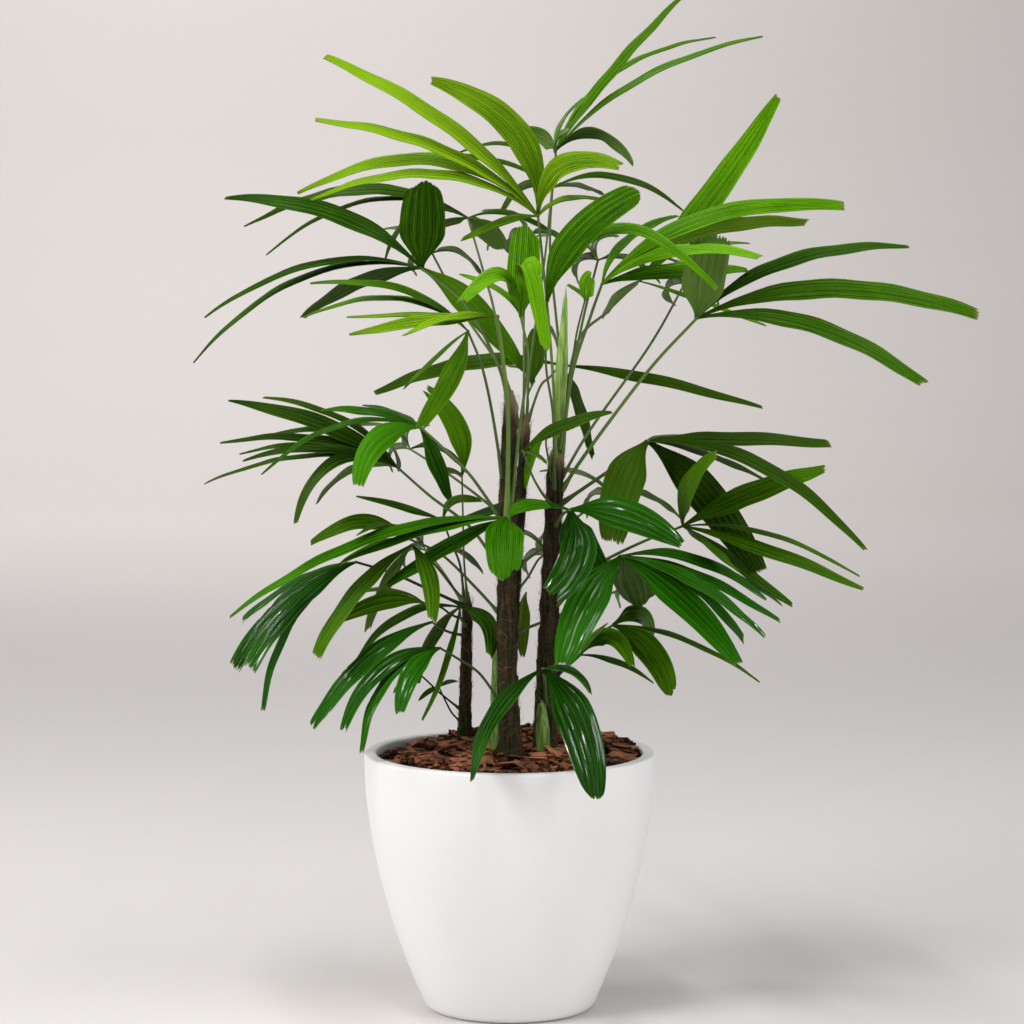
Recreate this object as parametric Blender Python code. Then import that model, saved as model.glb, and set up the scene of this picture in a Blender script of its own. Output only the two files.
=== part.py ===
"""A potted lady palm: a tapering pot, its mulch, four canes and the fans of long leaflets that they carry.

Metres, +Z up. The origin is the centre of the pot's flat underside.
"""

import math
import random
from collections import namedtuple

import bmesh
import bpy
from mathutils import Matrix, Vector
from mathutils.bvhtree import BVHTree

MM = 0.001
CLEARANCE = 0.0003
SAME_POINT = 1e-6

# Pot
POT_HEIGHT = 0.258
POT_FOOT_RADIUS = 0.083
POT_RIM_RADIUS = 0.145
POT_FOOT_CORNER = 0.007
POT_CORNER_RISE = 0.0021
POT_WALL = 0.0125
POT_SIDES = 40
POT_BULGE = 1.9
POT_FLOOR = 0.012
POT_LIP = 0.003
POT_STATIONS = (0.11, 0.24, 0.42, 0.66)

# Mulch
MULCH_LEVEL = 0.2500
MULCH_MOUND = 0.0095
MULCH_RINGS = 7
MULCH_GAP = 0.0006
MULCH_LIFT = 0.0004
MULCH_RELIEF = 0.0028
MULCH_BANK = 0.007
MULCH_BANK_RUN = 0.055
MULCH_BANK_FROM = 0.033
MULCH_BANK_SKEW = 0.5
MULCH_TOP = 0.2665
CANE_SEAT = 0.2570
SEAT_REACH = 0.034

# Canes: (across, depth) of the foot and of the top, the top's height, how far the middle bows across, and
# the radius at foot and top
Cane = namedtuple("Cane", "foot top height bow foot_radius top_radius")
CANES = {
    "cane_left": Cane((-0.046, 0.057), (-0.042, 0.050), 0.412, 0.0, 0.0068, 0.0048),
    "cane_middle": Cane((0.001, -0.036), (0.002, -0.030), 0.620, -0.0045, 0.0110, 0.0070),
    "cane_right": Cane((0.035, 0.006), (0.047, 0.006), 0.566, -0.0005, 0.0115, 0.0078),
    "cane_rear": Cane((-0.006, 0.034), (0.017, 0.040), 0.592, 0.0, 0.0070, 0.0050),
}
CANE_FLARE = 1.16
CANE_FLARE_HEIGHT = 0.022
CANE_SIDES = 9
CANE_ROWS = 7
CANE_TIP = 0.018
CANE_NODE = 1.06

# A green piece of one cane's foot, a young shoot and the unopened leaf: foot and top as (across, depth),
# the heights of both, and the radii at foot, middle and top
Shoot = namedtuple("Shoot", "foot top low high radii")
SHOOTS = {
    "sheath_right": Shoot((0.033, -0.021), (0.032, -0.017), CANE_SEAT, 0.312, (0.0062, 0.0066, 0.0030)),
    "shoot_middle": Shoot((-0.014, -0.003), (-0.015, 0.008), CANE_SEAT, 0.366, (0.0046, 0.0042, 0.0012)),
    "spear_leaf": Shoot((0.0475, 0.006), (0.0560, 0.006), 0.5664, 0.722, (0.0045, 0.0058, 0.0010)),
}
SHOOT_ROWS = 6
SHOOT_SIDES = 7

# The fans are laid out on a sheet of millimetres, square to the line of sight and this far from the eye
EYE = Vector((0.0025, -3.457, 0.8096))
SIGHT_PITCH = math.radians(5.16)
SHEET_DISTANCE = 3.5
SHEET_CENTRE = (2.0, 493.0)

# Leaflets: the width along a blade as a share of its full width, and its thickness
BLADE_STATIONS = ((0.0, 0.1), (0.15, 0.3), (0.42, 0.95), (0.75, 0.83), (1.0, 0.42))
BLADE_APART = 0.15
BLADE_THICKNESS_SHARE = 1 / 95
BLADE_LEAST_THICKNESS = 0.0016
BLADE_ROOT = 0.0022
BLADE_UNDER = 1 / 3
CURVE_STEP = 0.02
CURVE_MIDDLE = (0.4, 0.6)
CONTROL_SHARE = 0.42
SETTLE_STEP = 0.007
SETTLE_TRIES = 18
SETTLE_MARGIN = 0.0006
STALK_MARGIN = 0.0002
SEAT_GAP = 0.00042
SEAT_ROUNDS = 5
SEAT_START = 3.0
HUB_SHARE = 2.3
STALK_TOP = 0.8
STALK_WIDENING = 0.3
STALK_SIDES = 5
STALK_ROWS = 6

# A leaflet's tip lies this far across and up from its fan's hub, in sheet millimetres; arch is how far the
# middle bows off the straight line, width is what is seen of the blade (negative where its pale underside
# shows), side says how far it goes towards (-1) or away from (+1) the eye, and swing and rise move its middle
Leaflet = namedtuple("Leaflet", "across up arch width side swing rise", defaults=(0.0, 0.0))

# A fan's hub is (across, up, depth); its stalk runs by the (across, up) points down to a height on a cane
Fan = namedtuple("Fan", "hub length blade cane seat stalk radius leaflets")


def fan(hub, length, blade, cane, seat, stalk, radius, *leaflets):
    """One fan of the plan, with its leaflets given as plain rows."""
    return Fan(hub, length, blade, cane, seat, stalk, radius, tuple(Leaflet(*row) for row in leaflets))


# The far fans' leaflets by turns: how far up the tip lies and what is seen of the width; then their arch, how
# much less the outer ones reach away, and the stalk's radius
FAR_LEAFLETS = ((24, 8), (-22, 12))
FAR_ARCH = 12
FAR_TURN = 0.35
FAR_STALK = 1.9


def far_fan(hub, length, blade, cane, seat, stalk, spread, count=4):
    """A fan on the far side of the crown: its leaflets spread evenly and reach away from the eye."""
    rows = []
    for index in range(count):
        turn = 2 * index / (count - 1) - 1
        up, width = FAR_LEAFLETS[index % 2]
        rows.append((spread * turn, up, FAR_ARCH, width, 1 - FAR_TURN * abs(turn)))
    return fan(hub, length, blade, cane, seat, stalk, FAR_STALK, *rows)


FANS = {
    "frond_top_bright": fan((28, 789, -50), 200, 30, "cane_right", 552, ((38, 690), (44, 610)), 2.2,
        (-108, 136, 36, 27, -0.2), (-214, 160, 20, 14, 0.0), (-223, 96, 24, 11, -0.3),
        (-241, 22, 48, 13, -0.2), (-228, 16, 36, 9, 0.3), (84, 50, 32, 22, -0.4), (65, 17, 10, 10, 0.7),
        (-77, -24, 6, 9, 0.2)),
    "frond_top_tall": fan((46, 855, 40), 250, 26, "cane_right", 540, ((40, 760), (50, 640)), 2.0,
        (134, 161, 8, 10, 0.2), (207, 114, 22, 6, -0.1), (160, 113, 30, 5, 0.3), (78, -15, 24, -14, -0.3),
        (-34, 18, 6, -18, 0.12), (11, 18, 4, 10, -0.3), (27, 52, 8, 7, 0.5)),
    "frond_left_high": fan((-89, 737, 60), 215, 36, "cane_middle", 602, ((-45, 700), (-12, 640)), 2.0,
        (3, 90, 0, 46, -0.3), (-197, 70, 24, 17, -0.1), (103, -102, 10, 27, 0.3), (-217, -50, 29, 6, 0.2),
        (-228, -95, 38, 6, -0.3), (-119, -50, 12, -17, 0.5)),
    "frond_left_upper": fan((-42, 787, 75), 230, 28, "cane_middle", 610, ((-27, 735), (-15, 690)), 1.9,
        (-224, -9, 34, 11, 0.1), (-202, -37, 36, 4, 0.4), (37, -34, 4, -22, 0.1), (92, -22, 15, 6, 0.3),
        (-84, -45, 30, 9, 0.6), (20, -32, 8, 6, 0.5), (-50, -24, 6, -12, 0.25)),
    "frond_back_upper": fan((42, 817, 120), 180, 22, "cane_rear", 580, ((34, 740), (20, 640)), 1.8,
        (132, -23, 23, 7, 0.2), (52, -6, 6, 12, 0.8), (-97, 34, 28, 4, 0.4), (-152, 23, 20, 5, 0.1),
        (-52, -25, 14, 14, 0.6)),
    "frond_centre_bright": fan((11, 688, -95), 150, 30, "cane_middle", 500, ((18, 645), (10, 580)), 2.2,
        (5, 95, 0, 32, 0.2), (-61, 14, 36, 17, -0.5), (-61, 43, 10, 8, 0.6), (26, -35, 0, 17, -0.4, -6, 130)),
    "frond_centre_broad": fan((37, 703, -70), 190, 30, "cane_right", 520, ((36, 640), (43, 590)), 2.0,
        (95, 112, 20, 30, -0.4), (171, 12, 70, 11, -0.2, -8)),
    "frond_right_lime": fan((92, 721, -25), 250, 30, "cane_right", 556, ((81, 690), (62, 630)), 2.2,
        (244, 78, 33, 16, -0.1), (207, 62, 24, -16, 0.4), (160, 27, 22, 12, -0.5), (74, 69, 16, 14, 0.7),
        (147, 41, 14, 6, 0.6), (146, 14, 8, 16, 0.3)),
    "frond_right_tall": fan((129, 724, 70), 240, 30, "cane_right", 546, ((98, 694), (65, 656)), 2.0,
        (140, 186, -6, 27, 0.1), (127, -45, 3, 4, 0.3), (-34, -35, 5, -18, 0.5)),
    "frond_right_long": fan((187, 687, 0), 285, 32, "cane_right", 518, ((139, 635), (77, 553)), 2.2,
        (16, 91, 0, -42, -0.3), (212, 72, 26, 14, 0.5), (283, 4, 29, 19, 0.0), (229, -67, 27, 16, -0.4)),
    "frond_front_light": fan((-13, 688, -115), 160, 26, "cane_middle", 490, ((-8, 652), (-2, 590)), 3.2,
        (-151, 0, 3, 4, 0.2), (-148, -18, 6, 12, -0.1), (-94, -19, 10, 8, -0.5)),
    "frond_left_arched": fan((-42, 674, -60), 180, 28, "cane_middle", 535, ((-28, 638), (-18, 593)), 1.9,
        (-50, -99, -4, 21, -0.4), (-64, -58, 3, 4, 0.3), (-158, 47, 22, 7, -0.2), (-165, 13, 28, 5, 0.3)),
    "frond_back_dusk": fan((50, 640, 135), 210, 24, "cane_rear", 585, ((40, 628), (30, 618)), 1.8,
        (-187, -29, 17, 15, 0.2), (203, -43, 6, 11, 0.1), (33, -93, 5, 15, 0.5), (-10, 40, 3, 9, 0.7)),
    "frond_back_small": fan((22, 620, 80), 110, 24, "cane_rear", 572, ((18, 610), (18, 600)), 1.7,
        (6, 60, 2, 22, 0.3), (-24, 20, 6, 10, 0.8)),
    "frond_bud_small": fan((75, 705, -75), 70, 20, "cane_right", 560, ((66, 668), (60, 620)), 1.7,
        (7, 28, 2, 18, -0.5), (-17, 16, 2, 8, 0.5)),
    "frond_centre_dark": fan((13, 554, -80), 105, 20, "cane_right", 505, ((22, 530), (32, 512)), 1.7,
        (90, 39, 8, 12, -0.2), (22, -12, 3, 10, -0.6)),
    "frond_centre_strap": fan((38, 574, -42), 76, 16, "cane_right", 528, ((36, 562), (38, 548)), 1.6,
        (-23, -58, 6, 9, -0.4), (-10, -24, 4, 7, 0.5)),
    "frond_left_cluster": fan((-113, 538, -20), 200, 26, "cane_middle", 445, ((-80, 509), (-40, 478)), 1.9,
        (-169, 66, 14, 16, 0.2), (-134, 70, 18, 7, 0.6), (-177, 24, 18, 8, 0.0), (-158, 13, 17, 6, 0.35),
        (-155, 6, 17, 8, -0.3), (-193, -17, 20, 4, -0.25), (-102, -57, 36, 14, -0.4), (-81, -37, 17, -10, 0.6),
        (-4, 21, 2, 10, 0.6), (-131, 31, 22, 9, 0.7)),
    "frond_left_glow": fan((-90, 578, -60), 170, 26, "cane_middle", 494, ((-70, 560), (-40, 530)), 1.9,
        (-62, -60, 20, 25, -0.5), (-57, 22, 5, 7, 0.6), (-99, 17, 8, 9, 0.3), (-159, -48, 26, 5, -0.1),
        (31, -73, 2, 19, 0.4)),
    "frond_left_spoon": fan((-48, 530, -10), 110, 22, "cane_left", 408, ((-47, 485), (-46, 445)), 1.6,
        (-38, 88, 14, 22, -0.3), (-22, 0, 4, -15, 0.5)),
    "frond_left_short": fan((-103, 467, -10), 130, 24, "cane_middle", 400, ((-68, 450), (-34, 417)), 1.8,
        (-97, -6, 20, 15, 0.1), (-50, 3, 12, 6, -0.6), (-68, -28, 6, 9, -0.5)),
    "frond_left_slim": fan((-67, 485, 60), 110, 20, "cane_left", 404, ((-60, 465), (-50, 440)), 1.6,
        (-87, 24, 2, 7, 0.2), (39, 19, 13, 11, 0.4)),
    "frond_front_long": fan((-2, 487, -75), 295, 28, "cane_middle", 470, ((-2, 486), (-1, 483)), 2.6,
        (-279, -99, 28, 10, -0.1), (-3, -66, 2, 38, -0.2, 0, 24), (42, 14, 6, 14, 0.1),
        (-124, -70, 6, 15, 0.25), (-167, -45, 10, 9, 0.05)),
    "frond_left_glossy": fan((-154, 443, -20), 180, 26, "cane_left", 398, ((-118, 432), (-80, 415)), 1.9,
        (-116, -60, 11, 7, 0.5), (-124, -108, 18, 15, 0.1), (-110, -110, 13, 15, -0.35),
        (-94, -150, 24, 8, -0.5)),
    "frond_left_olive": fan((-98, 460, -50), 165, 24, "cane_left", 402, ((-75, 440), (-55, 415)), 1.8,
        (-98, -113, 12, 15, -0.2), (-45, -86, 6, -13, 0.4), (20, -76, 9, 19, -0.3)),
    "frond_left_low": fan((-86, 402, -20), 100, 20, "cane_left", 384, ((-70, 398), (-58, 390)), 1.5,
        (-89, -20, 11, 17, -0.2), (-80, 6, 11, 4, 0.4)),
    "frond_left_crown": fan((-50, 398, 20), 140, 24, "cane_left", 378, ((-50, 393), (-49, 386)), 1.7,
        (29, -50, 16, 20, -0.5), (-105, -55, 20, 9, 0.1), (-42, -77, 10, -12, 0.5), (-38, -114, -4, 6, -0.2)),
    "frond_left_bow": fan((-78, 383, -40), 170, 24, "cane_left", 368, ((-70, 377), (-58, 372)), 1.7,
        (-121, -106, 15, 18, -0.1)),
    "frond_left_claw": fan((-70, 357, -75), 150, 22, "cane_middle", 312, ((-50, 345), (-30, 331)), 1.7,
        (-98, -84, 23, 15, 0.1), (-79, -107, 24, 10, -0.3), (-40, -66, 12, 20, -0.5)),
    "frond_seedling_left": fan((-95, 334, 20), 50, 10, "cane_left", 292, ((-86, 327), (-70, 312)), 1.3,
        (-38, -7, 3, 5, 0.3), (-22, -22, 3, 5, 0.7)),
    "frond_seedling_low": fan((-71, 318, 46), 34, 8, "cane_left", 280, ((-65, 305), (-58, 292)), 1.2,
        (-20, -14, 2, 5, 0.3), (19, 6, 2, 4, -0.5)),
    "frond_right_fan": fan((138, 564, 0), 250, 34, "cane_right", 505, ((115, 545), (90, 528)), 2.1,
        (-36, -105, 8, 40, -0.25, 0, 8), (182, -2, 5, 14, 0.3), (42, 5, 3, 7, 0.6), (218, -110, 31, 13, 0.0),
        (118, -39, 7, 9, 0.6), (113, -134, 9, 37, 0.5)),
    "frond_right_spread": fan((173, 479, 40), 205, 30, "cane_right", 424, ((130, 462), (85, 440)), 2.0,
        (34, 73, 13, 21, -0.3), (143, 58, 6, 22, -0.2), (177, -51, 17, 4, 0.1), (181, -63, 6, 13, -0.3),
        (110, -80, 2, 15, 0.5), (55, -46, 3, 10, -0.6)),
    "frond_right_near": fan((60, 495, -55), 150, 30, "cane_right", 484, ((56, 493), (52, 490)), 2.1,
        (113, -35, 12, 31, -0.4), (-22, -88, -18, 36, -0.5), (36, -66, -8, 36, 0.3),
        (-118, -14, 12, 14, 0.4)),
    "frond_right_glossy": fan((112, 449, -45), 200, 34, "cane_right", 404, ((95, 440), (70, 422)), 2.1,
        (-60, -111, 9, 38, -0.5), (118, -109, 10, 28, -0.4), (145, -43, 19, 11, 0.35), (160, -49, 20, 5, 0.55),
        (159, -66, 12, 10, 0.0), (122, -84, 18, 13, 0.6), (144, -82, 15, 11, 0.2), (20, -52, 4, 44, 0.6)),
    "frond_right_low": fan((103, 380, 20), 165, 28, "cane_right", 332, ((85, 368), (70, 350)), 1.8,
        (59, -73, 13, 27, -0.3), (147, -57, 13, 5, 0.2), (36, -22, 22, 24, 0.5)),
    "frond_right_nub": fan((70, 350, 0), 110, 22, "cane_right", 320, ((60, 343), (50, 332)), 1.6,
        (53, -12, 25, 18, -0.3), (74, -28, 7, 6, 0.3), (28, 32, 3, 6, -0.4)),
    "frond_front_glossy": fan((33, 336, -80), 190, 36, "cane_right", 306, ((34, 331), (35, 322)), 2.1,
        (-71, -112, 18, 19, -0.8), (53, -133, 8, 38, -0.9, 4, 12), (48, -25, 12, 9, -0.2)),
    "frond_old_leaf": fan((16, 412, 76), 80, 15, "cane_rear", 382, ((14, 409), (10, 400)), 1.5,
        (-3, -66, 2, 15, 0.2)),
    "frond_far_crest": far_fan((18, 770, 150), 200, 28, "cane_rear", 574, ((14, 700), (14, 630)), 46),
    "frond_far_right_high": far_fan((88, 745, 150), 220, 28, "cane_right", 536, ((74, 690), (58, 610)), 62),
    "frond_far_right_edge": far_fan((175, 722, 130), 220, 28, "cane_right", 526, ((140, 660), (80, 575)), 34),
    "frond_far_left_high": far_fan((-78, 752, 160), 210, 28, "cane_rear", 566, ((-45, 690), (-6, 630)), 50),
    "frond_far_right_mid": far_fan((100, 510, 150), 210, 28, "cane_rear", 440, ((70, 490), (36, 460)), 70),
    "frond_far_right_low": far_fan((130, 420, 150), 190, 26, "cane_rear", 372, ((90, 408), (45, 388)), 62),
    "frond_far_left_mid": far_fan((-100, 556, 150), 200, 26, "cane_rear", 470, ((-60, 530), (-15, 495)), 56),
    "frond_far_left_low": far_fan((-85, 455, 160), 190, 26, "cane_left", 392, ((-72, 440), (-56, 416)), 58),
    "frond_far_centre": far_fan((35, 450, 150), 170, 26, "cane_rear", 412, ((28, 445), (18, 428)), 50),
}


def clear_scene():
    for old in list(bpy.data.objects):
        bpy.data.objects.remove(old, do_unlink=True)


def material(name, colour, roughness, metallic=0.0):
    """A plain Principled material."""
    made = bpy.data.materials.new(name)
    made.use_nodes = True
    shader = made.node_tree.nodes["Principled BSDF"]
    shader.inputs["Base Color"].default_value = (*colour, 1.0)
    shader.inputs["Roughness"].default_value = roughness
    shader.inputs["Metallic"].default_value = metallic
    made.diffuse_color = (*colour, 1.0)
    return made


def finished(name, bm, finish, smooth=None):
    """Turns a bmesh into a named object of the scene."""
    bmesh.ops.recalc_face_normals(bm, faces=bm.faces)
    mesh = bpy.data.meshes.new(name)
    bm.to_mesh(mesh)
    bm.free()
    mesh.materials.append(finish)
    if smooth is not None:
        mesh.shade_smooth()
        mesh.set_sharp_from_angle(angle=math.radians(smooth))
    made = bpy.data.objects.new(name, mesh)
    bpy.context.scene.collection.objects.link(made)
    return made


def placed(across, up, depth):
    """The point at this depth (metres behind the pot's axis) that is seen at this place of the sheet."""
    forward = Vector((0.0, math.cos(SIGHT_PITCH), -math.sin(SIGHT_PITCH)))
    rise = Vector((0.0, math.sin(SIGHT_PITCH), math.cos(SIGHT_PITCH)))
    ray = forward * SHEET_DISTANCE + Vector((1, 0, 0)) * (across - SHEET_CENTRE[0]) * MM
    ray += rise * (up - SHEET_CENTRE[1]) * MM
    return EYE + ray * ((depth - EYE.y) / ray.y)


def pot_outer_radius(height):
    """The pot's outer radius: it bulges out from the foot and stands upright at the rim."""
    share = min(height / POT_HEIGHT, 1.0)
    return POT_FOOT_RADIUS + (POT_RIM_RADIUS - POT_FOOT_RADIUS) * (1 - (1 - share) ** POT_BULGE)


def turned(profile, sides):
    """A bmesh turned from a (radius, height) profile that starts and ends on the axis."""
    bm = bmesh.new()
    verts = [bm.verts.new((radius, 0, height)) for radius, height in profile]
    edges = [bm.edges.new(pair) for pair in zip(verts, verts[1:])]
    bmesh.ops.spin(bm, geom=verts + edges, cent=(0, 0, 0), axis=(0, 0, 1), angle=2 * math.pi,
        steps=sides, use_merge=True, use_duplicate=False)
    bmesh.ops.remove_doubles(bm, verts=bm.verts, dist=SAME_POINT)
    return bm


def pot():
    """The pot: a flat underside, a small round corner, a bulging wall and a softly rounded lip."""
    heights = [POT_HEIGHT * share for share in POT_STATIONS]
    profile = [(0, 0), (POT_FOOT_RADIUS - POT_FOOT_CORNER, 0)]
    profile.append((POT_FOOT_RADIUS + POT_CORNER_RISE, POT_CORNER_RISE))
    profile += [(pot_outer_radius(height), height) for height in heights]
    profile.append((POT_RIM_RADIUS, POT_HEIGHT - POT_LIP))
    profile.append((POT_RIM_RADIUS - POT_LIP, POT_HEIGHT))
    profile.append((POT_RIM_RADIUS - POT_WALL + POT_LIP, POT_HEIGHT))
    profile.append((POT_RIM_RADIUS - POT_WALL, POT_HEIGHT - POT_LIP))
    profile += [(pot_outer_radius(height) - POT_WALL, height) for height in reversed(heights)]
    profile.append((0, POT_FLOOR))
    bm = turned(profile, POT_SIDES)
    return finished("pot", bm, material("white_pot", (0.86, 0.86, 0.85), 0.55), smooth=40)


def pot_inner_radius(height):
    """The inside of the pot's wall, which is straight between its stations."""
    rim = (POT_HEIGHT - POT_LIP, POT_RIM_RADIUS - POT_WALL)
    heights = [POT_HEIGHT * share for share in POT_STATIONS]
    stations = [(station, pot_outer_radius(station) - POT_WALL) for station in heights] + [rim]
    for (low, low_radius), (high, high_radius) in zip(stations, stations[1:]):
        if height <= high:
            return low_radius + (high_radius - low_radius) * (height - low) / (high - low)
    return rim[1]


def mulch_height(x, y, noise):
    """The mulch's surface: a low mound banked up at the back, with a relief, and flat where a stem stands."""
    radius = math.hypot(x, y)
    inner = POT_RIM_RADIUS - POT_WALL
    height = MULCH_LEVEL + MULCH_MOUND * (1 - (radius / inner) ** 2) + MULCH_RELIEF * noise
    height += MULCH_BANK * min(max((y + x * MULCH_BANK_SKEW - MULCH_BANK_FROM) / MULCH_BANK_RUN, 0.0), 1.0)
    for stem in [*CANES.values(), *SHOOTS.values()]:
        if math.hypot(x - stem.foot[0], y - stem.foot[1]) < SEAT_REACH:
            return CANE_SEAT - CLEARANCE
    return min(height, MULCH_TOP)


def mulch():
    """The soil and the mulch on it: a plug that fills the pot up to a little under its rim."""
    chance = random.Random(5)
    edge = pot_inner_radius(MULCH_LEVEL) - MULCH_GAP
    bm = bmesh.new()
    spokes = range(POT_SIDES)
    rings = []
    for ring in range(1, MULCH_RINGS):
        radius = edge * ring / MULCH_RINGS
        rings.append([(radius, math.pi * (2 * spoke + ring % 2) / POT_SIDES, None) for spoke in spokes])
    for height in [MULCH_LEVEL, *(POT_HEIGHT * share for share in reversed(POT_STATIONS))]:
        radius = pot_inner_radius(height) - MULCH_GAP
        rings.append([(radius, math.tau * spoke / POT_SIDES, height + MULCH_LIFT) for spoke in spokes])
    loops = []
    for ring in rings:
        loop = []
        for radius, turn, height in ring:
            x, y = radius * math.cos(turn), radius * math.sin(turn)
            if height is None:
                height = mulch_height(x, y, chance.uniform(-1, 1))
            loop.append(bm.verts.new((x, y, height)))
        loops.append(loop)
    centre = bm.verts.new((0, 0, mulch_height(0.0, 0.0, 0.0)))
    for spoke in spokes:
        bm.faces.new((centre, loops[0][spoke], loops[0][(spoke + 1) % POT_SIDES]))
    for inside, outside in zip(loops, loops[1:]):
        for spoke in spokes:
            after = (spoke + 1) % POT_SIDES
            bm.faces.new((inside[spoke], outside[spoke], outside[after], inside[after]))
    bm.faces.new(loops[-1])
    bmesh.ops.triangulate(bm, faces=bm.faces)
    return finished("mulch", bm, material("bark_mulch", (0.16, 0.06, 0.03), 0.9))


def cane_radius(cane, height):
    """A cane's radius: a flare at the foot, then a slow taper."""
    share = (height - CANE_SEAT) / (cane.height - CANE_SEAT)
    radius = cane.foot_radius + (cane.top_radius - cane.foot_radius) * share
    flare = max(0.0, 1 - (height - CANE_SEAT) / CANE_FLARE_HEIGHT)
    return radius * (1 + (CANE_FLARE - 1) * flare)


def cane_centre(cane, height):
    """The cane's middle at a height: a straight lean with a slight bow."""
    share = (height - CANE_SEAT) / (cane.height - CANE_SEAT)
    x = cane.foot[0] + (cane.top[0] - cane.foot[0]) * share + cane.bow * 4 * share * (1 - share)
    y = cane.foot[1] + (cane.top[1] - cane.foot[1]) * share
    return Vector((x, y, height))


def stacked(points, radii, sides):
    """A stem of level rings, as a bmesh: flat underneath, and drawn to a point at the last of the points."""
    bm = bmesh.new()
    rings = []
    for point, radius in zip(points, radii):
        place = Matrix.Translation(point)
        made = bmesh.ops.create_circle(bm, segments=sides, radius=radius, cap_ends=False, matrix=place)
        rings.append(made["verts"])
    for low, high in zip(rings, rings[1:]):
        bmesh.ops.bridge_loops(bm, edges=loop_edges(low) + loop_edges(high))
    bm.faces.new(rings[0])
    tip = bm.verts.new(points[-1])
    for index, vert in enumerate(rings[-1]):
        bm.faces.new((vert, rings[-1][(index + 1) % sides], tip))
    return bm


def cane_solid(name, cane):
    """One cane, from its flat foot on the mulch to its pointed sheath tip."""
    heights = [CANE_SEAT, CANE_SEAT + CANE_FLARE_HEIGHT]
    span = cane.height - CANE_TIP - heights[-1]
    heights += [heights[-1] + span * (row + 1) / CANE_ROWS for row in range(CANE_ROWS)]
    points = [cane_centre(cane, height) for height in heights]
    swells = [CANE_NODE if row % 2 and row > 1 else 1.0 for row in range(len(heights))]
    radii = [cane_radius(cane, height) * swell for height, swell in zip(heights, swells)]
    bm = stacked(points + [cane_centre(cane, cane.height)], radii, CANE_SIDES)
    return finished(name, bm, material(name + "_bark", (0.10, 0.06, 0.035), 0.9), smooth=50)


def shoot_solid(name, shoot):
    """A short green stem, swollen in the middle and drawn out to a point."""
    foot, middle, top = shoot.radii
    points, radii = [], []
    for row in range(SHOOT_ROWS):
        share = row / (SHOOT_ROWS - 1)
        x = shoot.foot[0] + (shoot.top[0] - shoot.foot[0]) * share
        y = shoot.foot[1] + (shoot.top[1] - shoot.foot[1]) * share
        points.append(Vector((x, y, shoot.low + (shoot.high - shoot.low) * share)))
        start, end = (foot, middle) if share < 0.5 else (middle, top)
        radii.append(start + (end - start) * (2 * share - (share >= 0.5)))
    bm = stacked(points, radii[:-1], SHOOT_SIDES)
    return finished(name, bm, material(name + "_green", (0.2, 0.35, 0.06), 0.5), smooth=60)


def loop_edges(verts):
    """The edges that join a closed loop's vertices."""
    inside = set(verts)
    return list({edge for vert in verts for edge in vert.link_edges if edge.other_vert(vert) in inside})


def tube(points, radii, sides):
    """A closed tube through the points, as a bmesh."""
    bm = bmesh.new()
    rings = []
    for index, (point, radius) in enumerate(zip(points, radii)):
        ahead = points[min(index + 1, len(points) - 1)] - points[max(index - 1, 0)]
        turn = ahead.to_track_quat("Z", "Y").to_matrix().to_4x4()
        place = Matrix.Translation(point) @ turn
        made = bmesh.ops.create_circle(bm, segments=sides, radius=radius, cap_ends=False, matrix=place)
        rings.append(made["verts"])
    for first, second in zip(rings, rings[1:]):
        offset = nearest_start(first, second)
        for index in range(sides):
            after = (index + 1) % sides
            near, far = second[(index + offset) % sides], second[(after + offset) % sides]
            bm.faces.new((first[index], first[after], far, near))
    bm.faces.new(rings[0])
    bm.faces.new(rings[-1])
    return bm


def nearest_start(first, second):
    """How many places the second ring is turned, so that the tube between the two isn't twisted."""
    return min(range(len(second)), key=lambda turn: (second[turn].co - first[0].co).length)


def smooth_path(points, rows):
    """A Catmull-Rom curve through the points."""
    ends = [points[0] * 2 - points[1], *points, points[-1] * 2 - points[-2]]
    made = []
    for row in range(rows):
        place = row / (rows - 1) * (len(points) - 1)
        index = min(int(place), len(points) - 2)
        t = place - index
        a, b, c, d = ends[index:index + 4]
        bend, turn = 2 * a - 5 * b + 4 * c - d, 3 * b - a - 3 * c + d
        made.append(0.5 * (2 * b + (c - a) * t + bend * t * t + turn * t ** 3))
    return made


def leaflet_curve(plan, leaf, lean):
    """The leaflet's midline from hub to tip, as a function of 0..1; lean shifts its tip in depth."""
    across, up, depth = plan.hub
    reach = math.hypot(leaf.across, leaf.up)
    spare = math.sqrt(max(plan.length ** 2 - reach ** 2, 0.0)) * leaf.side * MM + lean
    bow = Vector((-leaf.up, leaf.across)) / reach
    if bow.y < 0:
        bow = -bow
    middle = Vector((leaf.across, leaf.up)) * CONTROL_SHARE + bow * 2 * leaf.arch
    middle += Vector((leaf.swing, leaf.rise))
    root = placed(across, up, depth * MM)
    bend = placed(across + middle.x, up + middle.y, depth * MM + spare * CONTROL_SHARE)
    tip = placed(across + leaf.across, up + leaf.up, depth * MM + spare)
    return lambda t: root * (1 - t) ** 2 + bend * 2 * t * (1 - t) + tip * t * t


def blade_frame(curve, t, tilt, facing):
    """The blade's centre, half-width direction and upward normal at a place along it."""
    centre = curve(t)
    along = (curve(min(t + CURVE_STEP, 1.0)) - curve(max(t - CURVE_STEP, 0.0))).normalized()
    sight = (centre - EYE).normalized()
    flat = sight.cross(along).normalized()
    before, after = (curve(t) for t in CURVE_MIDDLE)
    middle = sight.cross(after - before)
    if middle.z < 0:
        flat = -flat
    normal = flat * math.sqrt(1 - tilt * tilt) - sight * tilt * facing
    wide = normal.cross(along).normalized()
    return centre, wide, along.cross(wide).normalized()


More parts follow.
